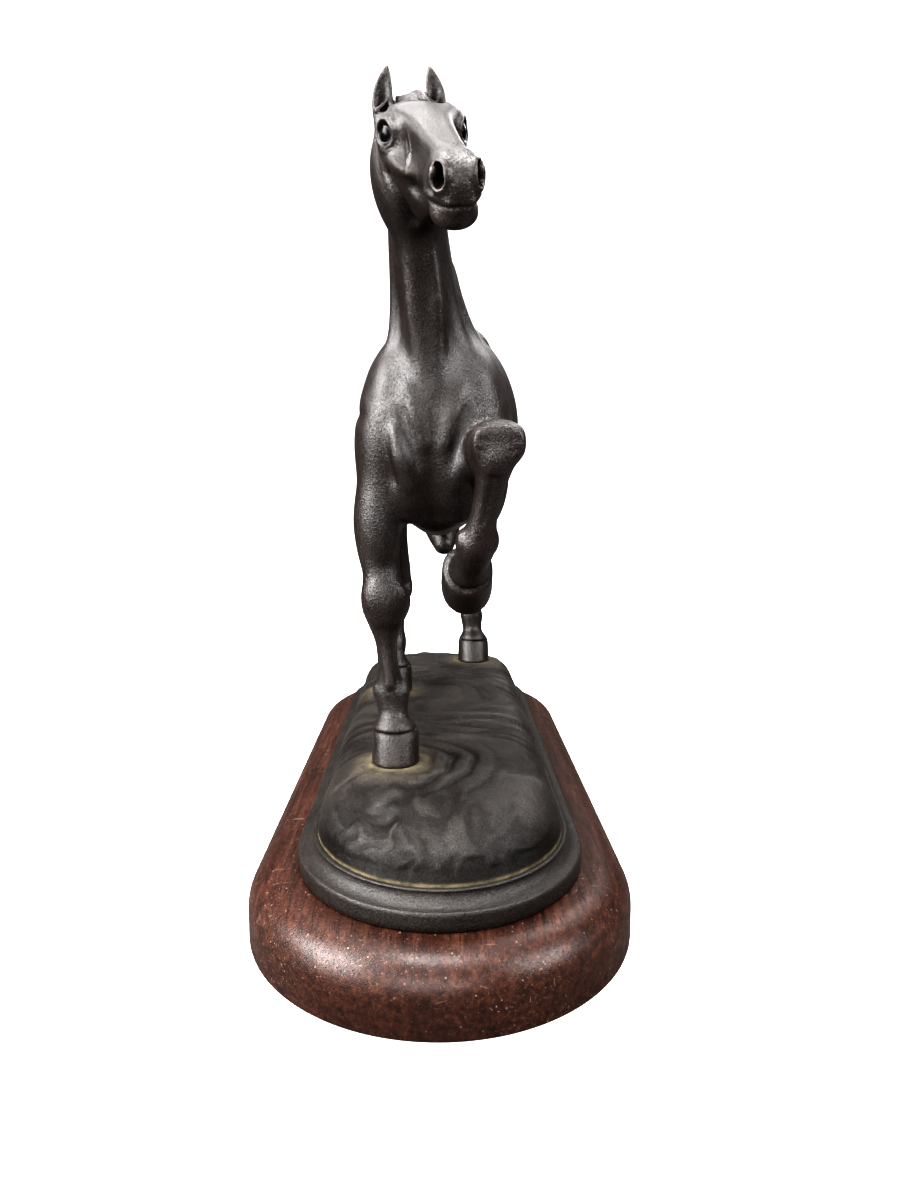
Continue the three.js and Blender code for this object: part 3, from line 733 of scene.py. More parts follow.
def sample(clay, points):
    """Distance and gradient (per mm) of the clay at points given in grid steps."""
    value = trilinear(clay.f, points)
    slopes = []
    for i, axis in enumerate(clay.axes):
        ahead = points.copy()
        behind = points.copy()
        ahead[:, i] += 1
        behind[:, i] -= 1
        lines = np.arange(len(axis))
        span = np.interp(ahead[:, i], lines, axis) - np.interp(behind[:, i], lines, axis)
        slopes.append((trilinear(clay.f, ahead) - trilinear(clay.f, behind)) / span)
    return value, np.stack(slopes, 1)


def build_mesh(name, places, faces, normals=None, attributes=None):
    mesh = bpy.data.meshes.new(name)
    mesh.from_pydata((places * MM).tolist(), [], faces.tolist() if hasattr(faces, "tolist") else faces)
    mesh.shade_smooth()
    for key, values in (attributes or {}).items():
        layer = mesh.attributes.new(key, "FLOAT", "POINT")
        layer.data.foreach_set("value", np.asarray(values, np.float32))
    if normals is not None:
        mesh.normals_split_custom_set_from_vertices(normals.tolist())
    mesh.update()
    piece = bpy.data.objects.new(name, mesh)
    bpy.context.scene.collection.objects.link(piece)
    return piece


# ---------------- head

# The head's own axes: along the face to the muzzle, up from the face, and to the horse's left.
POLL = np.array([-8.3, -140.6, 301.3])
FACE_TURN = math.radians(13.5)
FACE_DROP = math.radians(32)
FACE_ROLL = math.radians(7)


def face_axes():
    along = np.array([math.sin(FACE_TURN) * math.cos(FACE_DROP),
                      -math.cos(FACE_TURN) * math.cos(FACE_DROP), -math.sin(FACE_DROP)])
    level = np.array([math.cos(FACE_TURN), math.sin(FACE_TURN), 0])
    rise = np.cross(along, level)
    rise = rise * np.sign(rise[2])
    across = level * math.cos(FACE_ROLL) + rise * math.sin(FACE_ROLL)
    over = rise * math.cos(FACE_ROLL) - level * math.sin(FACE_ROLL)
    return [across, along, over]


FACE_AXES = face_axes()
ACROSS, ALONG, OVER = FACE_AXES


def face_vector(across, along, over):
    return ACROSS * across + ALONG * along + OVER * over


def face(across, along, over):
    """A point given in the head's own axes."""
    return POLL + face_vector(across, along, over)


# [along, shift across, top, bottom, half width, pinch at the top, pinch at the bottom]
SKULL = [
    [-17, -5, -12, -20, 4, 0.3, 0.3],
    [-10, -4, -8.2, -26, 9, 0.4, 0.3],
    [-2, -2.4, -3.8, -32, 11.2, 0.42, 0.25],
    [6, -1.2, -0.9, -36.6, 12.7, 0.38, 0.3],
    [13, -0.4, 0.8, -37.5, 13, 0.3, 0.42],
    [20, 0, 1.1, -36, 12.3, 0.22, 0.48],
    [28, 0, 0.5, -32.5, 10.9, 0.16, 0.48],
    [36, 0, -0.3, -28.5, 9.7, 0.16, 0.44],
    [44, 0, -0.7, -25, 8.6, 0.18, 0.38],
    [52, 0, -0.8, -22.8, 7.6, 0.16, 0.3],
    [60, 0, -0.9, -21.4, 6.8, 0.12, 0.22],
    [66, 0, -1.8, -20.4, 6.5, 0.1, 0.2],
    [70.5, 0, -3.8, -18.4, 5.6, 0.1, 0.2],
    [73, 0, -6.8, -15.4, 3.4, 0.1, 0.1],
]
SKULL_POWER = 2.7


def model_head(clay):
    sections = []
    for along, shift, top, bottom, half, pinch, keel in SKULL:
        centre = face(shift, along, (top + bottom) / 2)
        sections.append([*centre, *(OVER * (top - bottom) / 2), half, pinch, keel])
    loft(clay, sections, 8, power=SKULL_POWER, steps=3, side=ACROSS)
    for side in (-1, 1):
        cheek(clay, side)
    under_jaw = [face(0, 30, -33), face(0, 40, -28), face(0, 50, -24.6)]
    string(clay, under_jaw, 1, 3, carve=True)
    for side in (-1, 1):
        muzzle(clay, side)
    clay.soften(POLL - (34, 74, 62), POLL + (34, 22, 12), 4)
    bridge(clay)
    forelock(clay)
    for side in (-1, 1):
        veins(clay, side)
        eye(clay, side)
        brow(clay, side)
        nostril(clay, side)
        ear(clay, side)
    mouth(clay)


def face_run(side, *points):
    """Points (across, along, over) of one half of the face, in the frame's axes."""
    return [face(side * across, along, over) for across, along, over in points]


def face_ball(clay, centre, radii, k, carve=False):
    """An ellipsoid that lies along the head's own axes."""
    ball(clay, centre, radii, k, FACE_AXES, carve)


def on_skull(side, along, over, lift=0.0):
    """A point on the side of the skull loft, or lifted off it."""
    rows = np.array(SKULL)
    shift, top, bottom, half, pinch, keel = (np.interp(along, rows[:, 0], rows[:, i]) for i in range(1, 7))
    v = (over - (top + bottom) / 2) / ((top - bottom) / 2)
    wide = half * (1 - pinch * rising(v)) * (1 - keel * rising(-v))
    across = wide * max(1 - abs(v) ** SKULL_POWER, 0) ** (1 / SKULL_POWER)
    return face(shift + side * (across + lift), along, over)


def skull_run(side, *points):
    """Points (along, over, lift) on the side of the skull."""
    return [on_skull(side, *point) for point in points]


def bridge(clay):
    """The two long edges of the nasal bone, from the forehead to the nostrils."""
    for side in (-1, 1):
        edge = face_run(side, (8.6, 16, 0), (7, 28, 0), (5.6, 42, -1), (4.8, 56, -1.4))
        laid(clay, edge, -1.1, [1, 1.5, 1.5, 1.1], 2.6)


def cheek(clay, side):
    """The jaw's flat muscle, the bone over the eye, the crest of the cheek and the hollows round it."""
    face_ball(clay, face(side * 7.4 - 1, 10, -23), (5.6, 13, 12), 10)
    face_ball(clay, face(side * 8, 15, -4.4), (3.4, 8, 3.8), 5)
    crest = skull_run(side, (20, -14, -0.4), (28, -14.4, -0.2), (36, -14, -0.3), (42, -12, -0.9))
    string(clay, crest, [1.8, 1.9, 1.6, 0.9], 2.4)
    behind_eye, beside_nose, under_crest = skull_run(side, (4, -8, 1), (39, -8, 1.9), (42, -19, 1))
    face_ball(clay, behind_eye, (2.4, 4, 4), 4, carve=True)
    face_ball(clay, beside_nose, (2.6, 15, 3.6), 4, carve=True)
    face_ball(clay, under_crest, (3, 10, 3.8), 2.4, carve=True)
    before_jaw = skull_run(side, (21, -18, 0.4), (25, -25, 0.6), (24, -32, 0.8))
    string(clay, before_jaw, 1, 3, carve=True)


def muzzle(clay, side):
    face_ball(clay, face(side * 3.9, 64.5, -6.4), (3.3, 6.4, 5), 3)
    face_ball(clay, face(side * 3.6, 60, -12), (3.8, 7, 5), 3)


def veins(clay, side):
    main = skull_run(side, (30, -5), (33, -8), (34.5, -11), (37, -14.5))
    fork = skull_run(side, (28.5, -8), (31.5, -9.4), (34.5, -11))
    laid(clay, main, -0.25, [0.2, 0.45, 0.45, 0.2], 1.3)
    laid(clay, fork, -0.25, [0.2, 0.5, 0.5], 1.3)


EYE_PLACE = (11.6, 17.6, -7.4)      # across, along and over the face
EYEBALL = 4.1                       # radius
EYE_CENTRES = []


def eye_axes(side):
    look = unit(face_vector(side * 0.8, 0.5, 0.22))
    level = unit(np.cross(look, OVER))
    rise = np.cross(look, level)
    return [look, level, rise * np.sign(rise @ OVER)]


def eye(clay, side):
    """The eyeball in its socket, with two lids and a fold beyond each."""
    across, along, over = EYE_PLACE
    look, level, rise = axes = eye_axes(side)
    ball(clay, face(side * (across - 1.3), along, over), (2.6, 7, 6.6), 2.4, axes)
    centre = settle(clay, [face(side * across, along, over)])[0]
    EYE_CENTRES.append(centre)
    ball(clay, centre + look * 1, (2.6, 4.1, 3.3), 0.7, axes, carve=True)
    ball(clay, centre - look * 3.6, (EYEBALL, EYEBALL, EYEBALL), 0.3, axes)

    def ring(wide, high, angles):
        points = [centre + level * wide * math.cos(a) + rise * high * math.sin(a) for a in angles]
        return settle(clay, points)

    upper = np.linspace(0, math.pi, 9)
    lower = upper + math.pi
    inner, fold = ring(4.7, 3.9, upper), ring(6.1, 5.4, upper[1:-1])
    under, bag = ring(4.7, 3.7, lower), ring(6.0, 5.2, lower[2:-1])
    string(clay, inner, [0.5, 0.8, 1, 1.1, 1.1, 1.1, 1, 0.8, 0.5], 0.7)
    string(clay, under, [0.5, 0.7, 0.75, 0.75, 0.75, 0.75, 0.75, 0.7, 0.5], 0.7)
    string(clay, fold, [0.3, 0.5, 0.65, 0.7, 0.65, 0.5, 0.3], 0.6)
    string(clay, bag, [0.2, 0.4, 0.5, 0.5, 0.4, 0.2], 0.8)


def brow(clay, side):
    arc = face_run(side, (12, 1.5, -7), (12, 5, -3.4), (10.6, 9.6, -1), (8.4, 14.5, 0.6))
    laid(clay, arc, 0, [0.4, 0.6, 0.6, 0.2], 1.2)


def nostril(clay, side):
    """A rim, a hole in two parts, and the fold inside the wing of the nostril."""
    out = unit(face_vector(side * 0.66, 0.74, 0.06))
    rise = unit(OVER - out * (OVER @ out))
    level = np.cross(out, rise)
    centre = settle(clay, [face(side * 5.2, 69, -6.2)])[0]
    angles = np.linspace(0, 2 * math.pi, 15)
    rim = [centre + level * 2.9 * math.sin(a) + rise * 3.9 * math.cos(a) for a in angles]
    laid(clay, rim, 0.1, 1.15, 1.2)
    for drop in (1.2, -1.0):
        hole = [centre + out * s + rise * drop - level * side * drop * 0.35 for s in (-4.6, -2, 0.6, 3)]
        string(clay, hole, [1.0, 1.8, 2.3, 2.7], 0.6, carve=True)
    fold = centre - out * 1.2 + rise * 0.6 - level * side * 1.7
    ball(clay, fold, (1.3, 0.9, 1.6), 0.8, [out, level, rise])


def mouth(clay):
    """Chin, upper lip, the line between the lips and the creases at its corners."""
    face_ball(clay, face(0, 64, -18.2), (7, 7, 4.2), 3)
    face_ball(clay, face(0, 68.6, -10.8), (5, 4.4, 4), 2)
    half = [(8, 55, -15.8), (7.6, 60, -15), (6.6, 65, -14.3), (4, 71, -14)]
    line = face_run(-1, *half) + face_run(1, (0, 74, -13.8), *half[::-1])
    laid(clay, line, 0.1, [0.35, 0.5, 0.65, 0.65, 0.65, 0.65, 0.65, 0.5, 0.35], 0.8, carve=True)
    for side in (-1, 1):
        lip = face_run(side, (7.6, 59, -13), (6, 66, -12.2), (2.6, 72, -11.8))
        laid(clay, lip, 0, [0.4, 0.8, 0.5], 1.4)
        for shift in (0, 2.8, 5.6):
            crease = [(8, 55 - shift, -12.4), (8, 52.6 - shift, -15.6), (7, 53.4 - shift, -18.6)]
            laid(clay, face_run(side, *crease), 0.1, [0.25, 0.5, 0.25], 0.9, carve=True)


# [share of the way to the tip, half width, half thickness] of an ear
EAR = [(-0.35, 2.6, 2.6), (0, 3.4, 3), (0.2, 3.5, 2.7), (0.42, 3.5, 2.4), (0.62, 3.1, 2), (0.8, 2.2, 1.5),
       (0.93, 1.1, 0.9), (1, 0.4, 0.4)]


EAR_BASES = {-1: (-18.4, -136, 293), 1: (-1.2, -136, 293)}
EAR_TIPS = {-1: (-17.2, -138.6, EAR_TIP), 1: (-3.2, -138.6, EAR_TIP)}


def ear(clay, side):
    base, tip = np.array(EAR_BASES[side]), np.array(EAR_TIPS[side])
    rows = []
    for level, half, deep in EAR:
        bow = side * 1.1 * math.sin(math.pi * max(level, 0))
        rows.append([*(base + (tip - base) * level + (bow, 0, 0)), half, deep])
    limb(clay, rows, 1.6, steps=3)
    hollow = [[x, y - 2.1, z, half * 0.72, deep * 0.95] for x, y, z, half, deep in rows[2:7]]
    limb(clay, hollow, 0.5, steps=3, carve=True)
    fold = [base + (-2.4, -2.6, 4), base + (0.4, -1.6, 7), base + (2.2, -1.6, 11.5)]
    string(clay, fold, [0.8, 0.7, 0.4], 0.6)


STRAND_GAP = 1.5


def forelock(clay):
    """Hair that starts between the ears and lies over to the horse's left, and a little to its right."""
    for strand in range(5):
        s = strand * STRAND_GAP
        left = [face(-5 + s * 0.3, -4 - s * 0.2, -4), face(-1 + s * 0.3, -1 + s * 0.5, -3),
                face(4 + s * 0.2, 0.6 + s * 0.8, -3), face(8.6, 1 + s, -4.4), face(11.6, 1.6 + s, -7.6)]
        laid(clay, left, 0.5, [0.6, 1.2, 1.2, 1, 0.4], 0.5)
    for strand in range(3):
        s = strand * STRAND_GAP
        right = [face(-6.4, -4 + s, -5), face(-10, -3 + s, -6), face(-12.6, -2.4 + s, -9)]
        laid(clay, right, 0.5, [0.5, 0.8, 0.4], 0.6)


# ---------------- tail

TAIL = [
    [0, 56, 242, 5, 5],
    [0, 66, 244, 5.4, 5.6],
    [0.5, 78, 247.5, 5.6, 6],
    [1, 92, 246.5, 7.6, 7],
    [1.6, 106, 238, 9.6, 8.4],
    [2.2, 117, 221, 11, 9.6],
    [2.6, 124, 200, 11, 10],
    [2.6, 130, 178, 9.2, 9],
    [2.2, 137, 158, 6, 5.8],
    [1.6, 144, 145, 2, 2],
]
TAIL_LOCKS = 11
LOCK_TURN = 2.399       # radians between one lock's place round the tail and the next


def model_tail(clay):
    limb(clay, TAIL, 5)
    spine = catmull(TAIL, 3)[6:-2]
    for lock in range(TAIL_LOCKS):
        start = 2.4 * math.pi * lock / TAIL_LOCKS
        points = []
        for i, (x, y, z, wide, deep) in enumerate(spine):
            a = lock * LOCK_TURN + 0.9 * math.sin(i / (len(spine) - 1) * 3 + start)
            points.append([x + wide * 0.93 * math.cos(a), y + deep * 0.9 * math.sin(a), z])
        string(clay, points, [1.0] + [2.3] * (len(points) - 4) + [1.8, 1.2, 0.7], 0.7)


# ---------------- pieces of the horse

HORSE_PIECES = ["horse_body", "right_foreleg", "left_foreleg", "left_hind_leg", "right_hind_leg", "tail"]


def piece_of(places):
    """Index in HORSE_PIECES of the piece that each point belongs to."""
    x, y, z = places.T
    gaskin = (y - 53) * 0.62 - (z - 169) * 0.78     # past the slanting joint of the left thigh
    owner = np.zeros(len(places), int)
    owner[(x < -6) & (y < -70) & (z < 160)] = 1
    owner[(y < -127) & (z < 200) | (y < -112) & (z < 150) & (x > -3)] = 2
    owner[(x > 8) & (y > 25) & (gaskin > 0) & (z < 185)] = 3
    owner[(x < -10) & (y > 5) & (y < 75) & (z < 164)] = 4
    owner[(y > 80) & (z > 140) | (y > 72) & (z > 236)] = 5
    return owner


def finish_piece(piece, material, node):
    piece.data.materials.append(material)
    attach(piece, "root")
    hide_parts(node)


# Grid lines of the clay: stops, and the pitch between each two stops. Finer at the head.
GRID_X = (-42, 42), (0.68,)
GRID_Y = (-208, -134, -92, 156), (0.54, 0.85, 1.15)
GRID_Z = (GROUND - 3, 100, 240, EAR_TIP + 3), (0.9, 1.1, 0.54)


def horse_pieces(material):
    coarse = 1.0
    grid = (GRID_X, GRID_Y, GRID_Z)
    clay = Clay(*(graded_axis(stops, [pitch * coarse for pitch in pitches]) for stops, pitches in grid))
    model_trunk(clay)
    mane(clay)
    model_legs(clay)
    model_head(clay)
    model_tail(clay)
    places, quads, normals = skin_of(clay)
    bulge = roundness(places, quads, normals, 14)
    gaps = [np.linalg.norm(places - centre, axis=1) for centre in EYE_CENTRES]
    wet = smooth_step(EYEBALL + 0.3, EYEBALL - 0.7, np.min(gaps, axis=0))
    owner = piece_of(places[quads].mean(1))
    for index, name in enumerate(HORSE_PIECES):
        faces = quads[owner == index]
        used, local = np.unique(faces, return_inverse=True)
        piece = build_mesh(name + "_skin", places[used], local.reshape(faces.shape), normals[used],
                           {"bulge": bulge[used], "wet": wet[used]})
        finish_piece(piece, material, name)


# ---------------- oval base

WOOD_LOW, WOOD_HIGH = box_mm("wood_plinth")
RIM_LOW, RIM_HIGH = box_mm("base_moulding")
ROCK_HIGH = box_mm("rock_terrain")[1]
FELT_LOW, FELT_HIGH = box_mm("base_felt")
BAND_INSET = WOOD_HIGH[0] - RIM_HIGH[0]     # insets are measured inwards from the plinth's outline
BAND_TOP = RIM_LOW[2] + 7
RIM_TOP = RIM_HIGH[2]
ROCK_INSET = WOOD_HIGH[0] - ROCK_HIGH[0]
END_ROUNDNESS = 1.14                        # length of the rounded ends, as a share of the half width
ARC_SHARE = 0.3                             # share of the outline's points on each rounded end
WOOD_ROUND = 14                             # radius of the plinth's top edge


def oval(inset, count):
    """Points (x, y) round the plinth's outline, moved in by the inset."""
    half_width, half_length = WOOD_HIGH[:2] - inset
    straight = WOOD_HIGH[1] - WOOD_HIGH[0] * END_ROUNDNESS
    arc = int(count * ARC_SHARE)
    line = count // 2 - arc
    points = []
    for end in (1, -1):
        for a in math.pi * np.arange(arc) / arc:
            reach = straight + (half_length - straight) * math.sin(a)
            points.append((end * half_width * math.cos(a), end * reach))
        for i in range(line):
            points.append((-end * half_width, end * straight * (1 - 2 * i / line)))
    return np.array(points)


def ring_faces(rings, count, closed=False):
    """Quads between rings of count points each. A closed run joins the last ring to the first."""
    faces = []
    for r in range(rings if closed else rings - 1):
        a, b = r * count, (r + 1) % rings * count
        faces += [(a + i, a + (i + 1) % count, b + (i + 1) % count, b + i) for i in range(count)]
    return faces


def turned_ring(name, profile_points, count=320, wave=None, closed=False):
    """A piece whose outline follows the oval at each [inset, height] of the profile."""
    rings = [np.column_stack([oval(inset, count), np.full(count, height)])
             for inset, height in profile_points]
    places = np.vstack(rings)
    if wave is not None:
        places = wave(places)
    faces = ring_faces(len(rings), count, closed)
    if not closed:
        faces.append(tuple(range(count))[::-1])
        faces.append(tuple(range((len(rings) - 1) * count, len(rings) * count)))
    return build_mesh(name, places, faces)


def arc_points(inset0, height0, inset1, height1, steps, hollow=False):
    """A quarter arc of a profile, which bulges outwards, or inwards where it is hollow."""
    out = []
    for a in np.linspace(0, math.pi / 2, steps + 1):
        u, v = (1 - math.cos(a), math.sin(a)) if hollow else (math.sin(a), 1 - math.cos(a))
        out.append((inset0 + (inset1 - inset0) * v, height0 + (height1 - height0) * u))
    return out


def wood_piece(material):
    top, bottom = WOOD_HIGH[2], WOOD_LOW[2]
    foot = arc_points(1.2, bottom, 0, bottom + 1.2, 3, hollow=True)
    edge = arc_points(0, top - WOOD_ROUND, WOOD_ROUND, top, 16)
    flat = [(WOOD_ROUND + inset, top) for inset in (3, 7, 12)]
    piece = turned_ring("wood_plinth_skin", foot + edge + flat)
    finish_piece(piece, material, "wood_plinth")


def felt_piece(material):
    low, high = FELT_LOW[2], FELT_HIGH[2]
    inset = WOOD_HIGH[0] - FELT_HIGH[0]
    edge = [(inset + 0.3, low), (inset, low + 0.3), (inset, high - 0.2), (inset + 0.2, high)]
    piece = turned_ring("base_felt_skin", edge)
    finish_piece(piece, material, "base_felt")


def moulding_piece(material):
    """A ring with a flat band, a hollow cove and a rim."""
    low = RIM_LOW[2]
    band = [(0.5, low), (0, low + 0.5), (-0.1, low + 2.4), (-0.1, BAND_TOP - 1.6), (0, BAND_TOP - 0.4),
            (0.4, BAND_TOP)]
    cove = arc_points(BAND_INSET + 0.8, BAND_TOP + 0.05, BAND_INSET + 5.6, RIM_TOP - 0.8, 10, hollow=True)
    lip = arc_points(BAND_INSET + 5.5, RIM_TOP - 0.6, BAND_INSET + 6.1, RIM_TOP, 3)
    inner = ROCK_INSET + 1.2
    inside = [(BAND_INSET + 6.6, RIM_TOP), (inner, RIM_TOP - 0.4), (inner, low)]

    def wave(places):
        """Small unevenness of the casting."""
        for p in places:
            n = noise.noise(Vector(p * 0.05)) * 0.16 + noise.noise(Vector(p * 0.2)) * 0.05
            p[:2] *= 1 + n / np.linalg.norm(p[:2])
            p[2] += n * 0.6 if p[2] > low + 1 else 0
        return places

    profile_points = [(BAND_INSET + inset, height) for inset, height in band] + cove + lip + inside
    piece = turned_ring("base_moulding_skin", profile_points, 420, wave, closed=True)
    finish_piece(piece, material, "base_moulding")


# ---------------- rock

ROCK_RISE = GROUND - RIM_TOP
ROCK_FLATNESS = 6.5
ROCK_SHOULDER = 0.62
REAR_DIP = 4                # how far the rock falls towards its rear end
RIPPLE_REACH = 24           # distance of the strongest ripple from the hoof
CRAG_HEIGHT = 2.1
HOOF_FLAT = (12, 22)        # the rock is level within the first distance of a hoof, free past the second
HOOF_CALM = (11, 19)        # the same for its relief


def smooth_step(a, b, x):
    t = np.clip((x - a) / (b - a), 0, 1)
    return t * t * (3 - 2 * t)


def hump(x, middle, width):
    return math.exp(-((x - middle) / width) ** 2)


def noise_at(*place):
    return noise.noise(Vector(place))


def ripple_rings(x, y):
    """Scalloped ripples in the clay, on the open side of the standing foreleg's hoof."""
    sole_x, sole_y = SOLES["right_foreleg"]
    way = Vector((x - sole_x, y - sole_y, 0))
    far = way.length
    bend = noise.noise(Vector((x, y, 40)) * 0.08) * 4
    open_side = float(smooth_step(-0.1, 0.7, math.cos(math.atan2(way.y, way.x) + 0.1)))
    wave = math.sin((far + bend) * 0.72)
    return (wave - 0.6 * wave * wave) * hump(far, RIPPLE_REACH, 13) * open_side * 0.75


def rock_relief(x, y, front, edge):
    """Height of the modelled surface over the plain mound, mm."""
    place = Vector((x, y, 0))
    slow = place * 0.018
    swirl = Vector((noise.noise(slow + Vector((7, 1, 0))), noise.noise(slow + Vector((1, 9, 4))), 0))
    q = place + swirl * 34
    streak = noise_at(q.x * 0.05 + q.y * 0.045, q.y * 0.11, 3)
    comb = noise_at(q.x * 0.1 + q.y * 0.09, q.y * 0.27, 8)
    crumb = noise.fractal(Vector((q.x * 0.2, q.y * 0.26, 5)), 0.8, 2.1, 3)
    lump = noise.noise(place * 0.04 + Vector((3, 3, 0)))
    flow = streak + 0.5 * comb + 0.2 * crumb + 0.5 * abs(streak)
    return flow * (0.85 + 0.5 * edge) * (1 - 0.75 * front) + 0.8 * lump


def crag(x, z):
    """Broken lumps on the front of the rock: most at its upper left, a few low down on the right."""
    place = Vector((x, 0, z * 1.5))
    q = place + Vector((noise.noise(place * 0.09), 0, noise.noise(place * 0.09 + Vector((5, 5, 5))))) * 6
    facets = noise.voronoi(q * 0.11)[0]
    ridge = 1 - abs(noise.noise(q * 0.13)) * 2.2
    rough = (facets[1] - facets[0]) * 1.7 + ridge * 0.9 - 1.2
    upper_left = hump(x, -16, 18) * hump(z, 55, 7)
    lower_right = 0.3 * hump(x, 14, 17) * hump(z, 45, 3)
    undercut = -1.3 * hump(z, 41.5, 2.6)
    return CRAG_HEIGHT * rough * min(upper_left + lower_right + 0.14, 1) + undercut


def rock_point(x, y, share, soles):
    """A point of the rock over the outline's point (x, y), with its residue, relief and shadow."""
    dip = float(smooth_step(100, 172, y)) * REAR_DIP
    height = RIM_TOP - 0.4 + (ROCK_RISE + 0.4 - dip) * (1 - share ** ROCK_FLATNESS) ** ROCK_SHOULDER
    front = float(smooth_step(-118, -150, y))
    edge = float(smooth_step(0.6, 0.92, share))
    near = np.hypot(soles[:, 0] - x, (soles[:, 1] - y) * 0.95).min()
    calm = 1 - 0.95 * float(smooth_step(*HOOF_CALM[::-1], near))
    amount = rock_relief(x, y + height * 0.6 * front, front, edge) * calm + ripple_rings(x, y) * (1 - front)
    amount += front * calm * crag(x, height)
    lift = (GROUND - height) * float(smooth_step(*HOOF_FLAT[::-1], near))
    amount *= 1 - float(smooth_step(0.985, 1, share))
    outward = float(smooth_step(0.86, 0.985, share))
    grow = 1 + amount * outward / max(math.hypot(x, y), 1)
    z = height + amount * (1 - 0.75 * outward) + lift
    halo = hump(near, 10.8, 2.2) + 0.3 * hump(near, 15, 4)
    seam = float(smooth_step(RIM_TOP + 1.3, RIM_TOP + 0.4, z))
    shadow = float(smooth_step(53, 43, height)) * (0.45 + 0.55 * front)
    return (x * grow, y * grow, z), (min(1.0, halo + seam), amount, shadow)


def rock_piece(material):
    rings, count = ((118, 440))
    outline = oval(ROCK_INSET, count)
    shares = 1 - np.linspace(0, 1, rings) ** 1.7
    shares[-1] = 0.004      # the innermost ring, which a small face closes
    soles = np.array([*SOLES.values()])
    skirt = np.column_stack([outline * 0.985, np.full(count, RIM_TOP - 3.5)])
    points = [(place, (1.0, 0.0, 0.0)) for place in skirt]
    for share in shares:
        points += [rock_point(x, y, share, soles) for x, y in outline * share]
    places = np.array([place for place, _ in points])
    residue, relief, shadow = zip(*(values for _, values in points))
    faces = ring_faces(rings + 1, count)
    faces.append(tuple(range(len(places) - count, len(places))))
    piece = build_mesh("rock_terrain_skin", places, faces,
                       attributes={"residue": residue, "relief": relief, "shadow": shadow})
    finish_piece(piece, material, "rock_terrain")


# ---------------- materials

class Nodes:
    """A short way to write a material's node tree."""

    def __init__(self, name):
        self.material = bpy.data.materials.new(name)
        self.material.use_nodes = True
        self.tree = self.material.node_tree
        self.shader = self.tree.nodes["Principled BSDF"]
        coords = self.tree.nodes.new("ShaderNodeTexCoord")
        self.place = coords.outputs["Object"]

    def node(self, kind, **inputs):
        made = self.tree.nodes.new(kind)
        for key, value in inputs.items():
            self.feed(made.inputs[key.replace("_", " ")], value)
        return made

    def feed(self, socket, value):
        """Links or sets a socket. A colour may be given without its fourth number."""
        if isinstance(value, bpy.types.NodeSocket):
            self.tree.links.new(value, socket)
            return
        if socket.type == "RGBA":
            value = (*value, 1)
        socket.default_value = value

    def noise(self, scale, detail=4.0, rough=0.55, stretch=(1, 1, 1), distortion=0.0):
        mapping = self.node("ShaderNodeMapping", Vector=self.place, Scale=stretch)
        made = self.node("ShaderNodeTexNoise", Vector=mapping.outputs[0], Scale=scale, Detail=detail,
                         Roughness=rough, Distortion=distortion)
        return made.outputs["Fac"]

    def cells(self, scale):
        mapping = self.node("ShaderNodeMapping", Vector=self.place, Scale=(1, 1, 1))
        made = self.node("ShaderNodeTexVoronoi", Vector=mapping.outputs[0], Scale=scale)
        return made.outputs["Distance"]

    def ramp(self, value, *stops):
        """Numbers or colours at (position, value) stops."""
        made = self.tree.nodes.new("ShaderNodeValToRGB")
        points = made.color_ramp.elements
        for index, (position, colour) in enumerate(stops):
            point = points[index] if index < 2 else points.new(position)
            point.position = position
            if not hasattr(colour, "__len__"):
                colour = (colour,) * 3
            point.color = (*colour, 1)
        self.feed(made.inputs["Fac"], value)
        return made.outputs["Color"]

    def math(self, operation, a, b, clamp=False):
        made = self.tree.nodes.new("ShaderNodeMath")
        made.operation = operation
        made.use_clamp = clamp
        self.feed(made.inputs[0], a)
        self.feed(made.inputs[1], b)
        return made.outputs[0]

    def times(self, a, b, clamp=False):
        return self.math("MULTIPLY", a, b, clamp)

    def plus(self, a, b, clamp=False):
        return self.math("ADD", a, b, clamp)

    def less(self, a, b, clamp=False):
        return self.math("SUBTRACT", a, b, clamp)

    def most(self, a, b):
        return self.math("MAXIMUM", a, b)

    def mix(self, amount, a, b, blend="MIX"):
        made = self.tree.nodes.new("ShaderNodeMix")
        made.data_type = "RGBA"
        made.blend_type = blend
        self.feed(made.inputs["Factor"], amount)
        self.feed(made.inputs["A"], a)
        self.feed(made.inputs["B"], b)
        return made.outputs["Result"]

    def attribute(self, name):
        made = self.tree.nodes.new("ShaderNodeAttribute")
        made.attribute_name = name
        return made.outputs["Fac"]

    def bump(self, *layers):
        """Bump layers (height, strength, distance in mm), one on top of another."""
        normal = None
        for height, strength, distance in layers:
            made = self.node("ShaderNodeBump", Height=height, Strength=strength, Distance=distance * MM)
            if normal is not None:
                self.feed(made.inputs["Normal"], normal)
            normal = made.outputs["Normal"]
        self.feed(self.shader.inputs["Normal"], normal)

    def shade(self, **inputs):
        for key, value in inputs.items():
            self.feed(self.shader.inputs[key.replace("_", " ")], value)


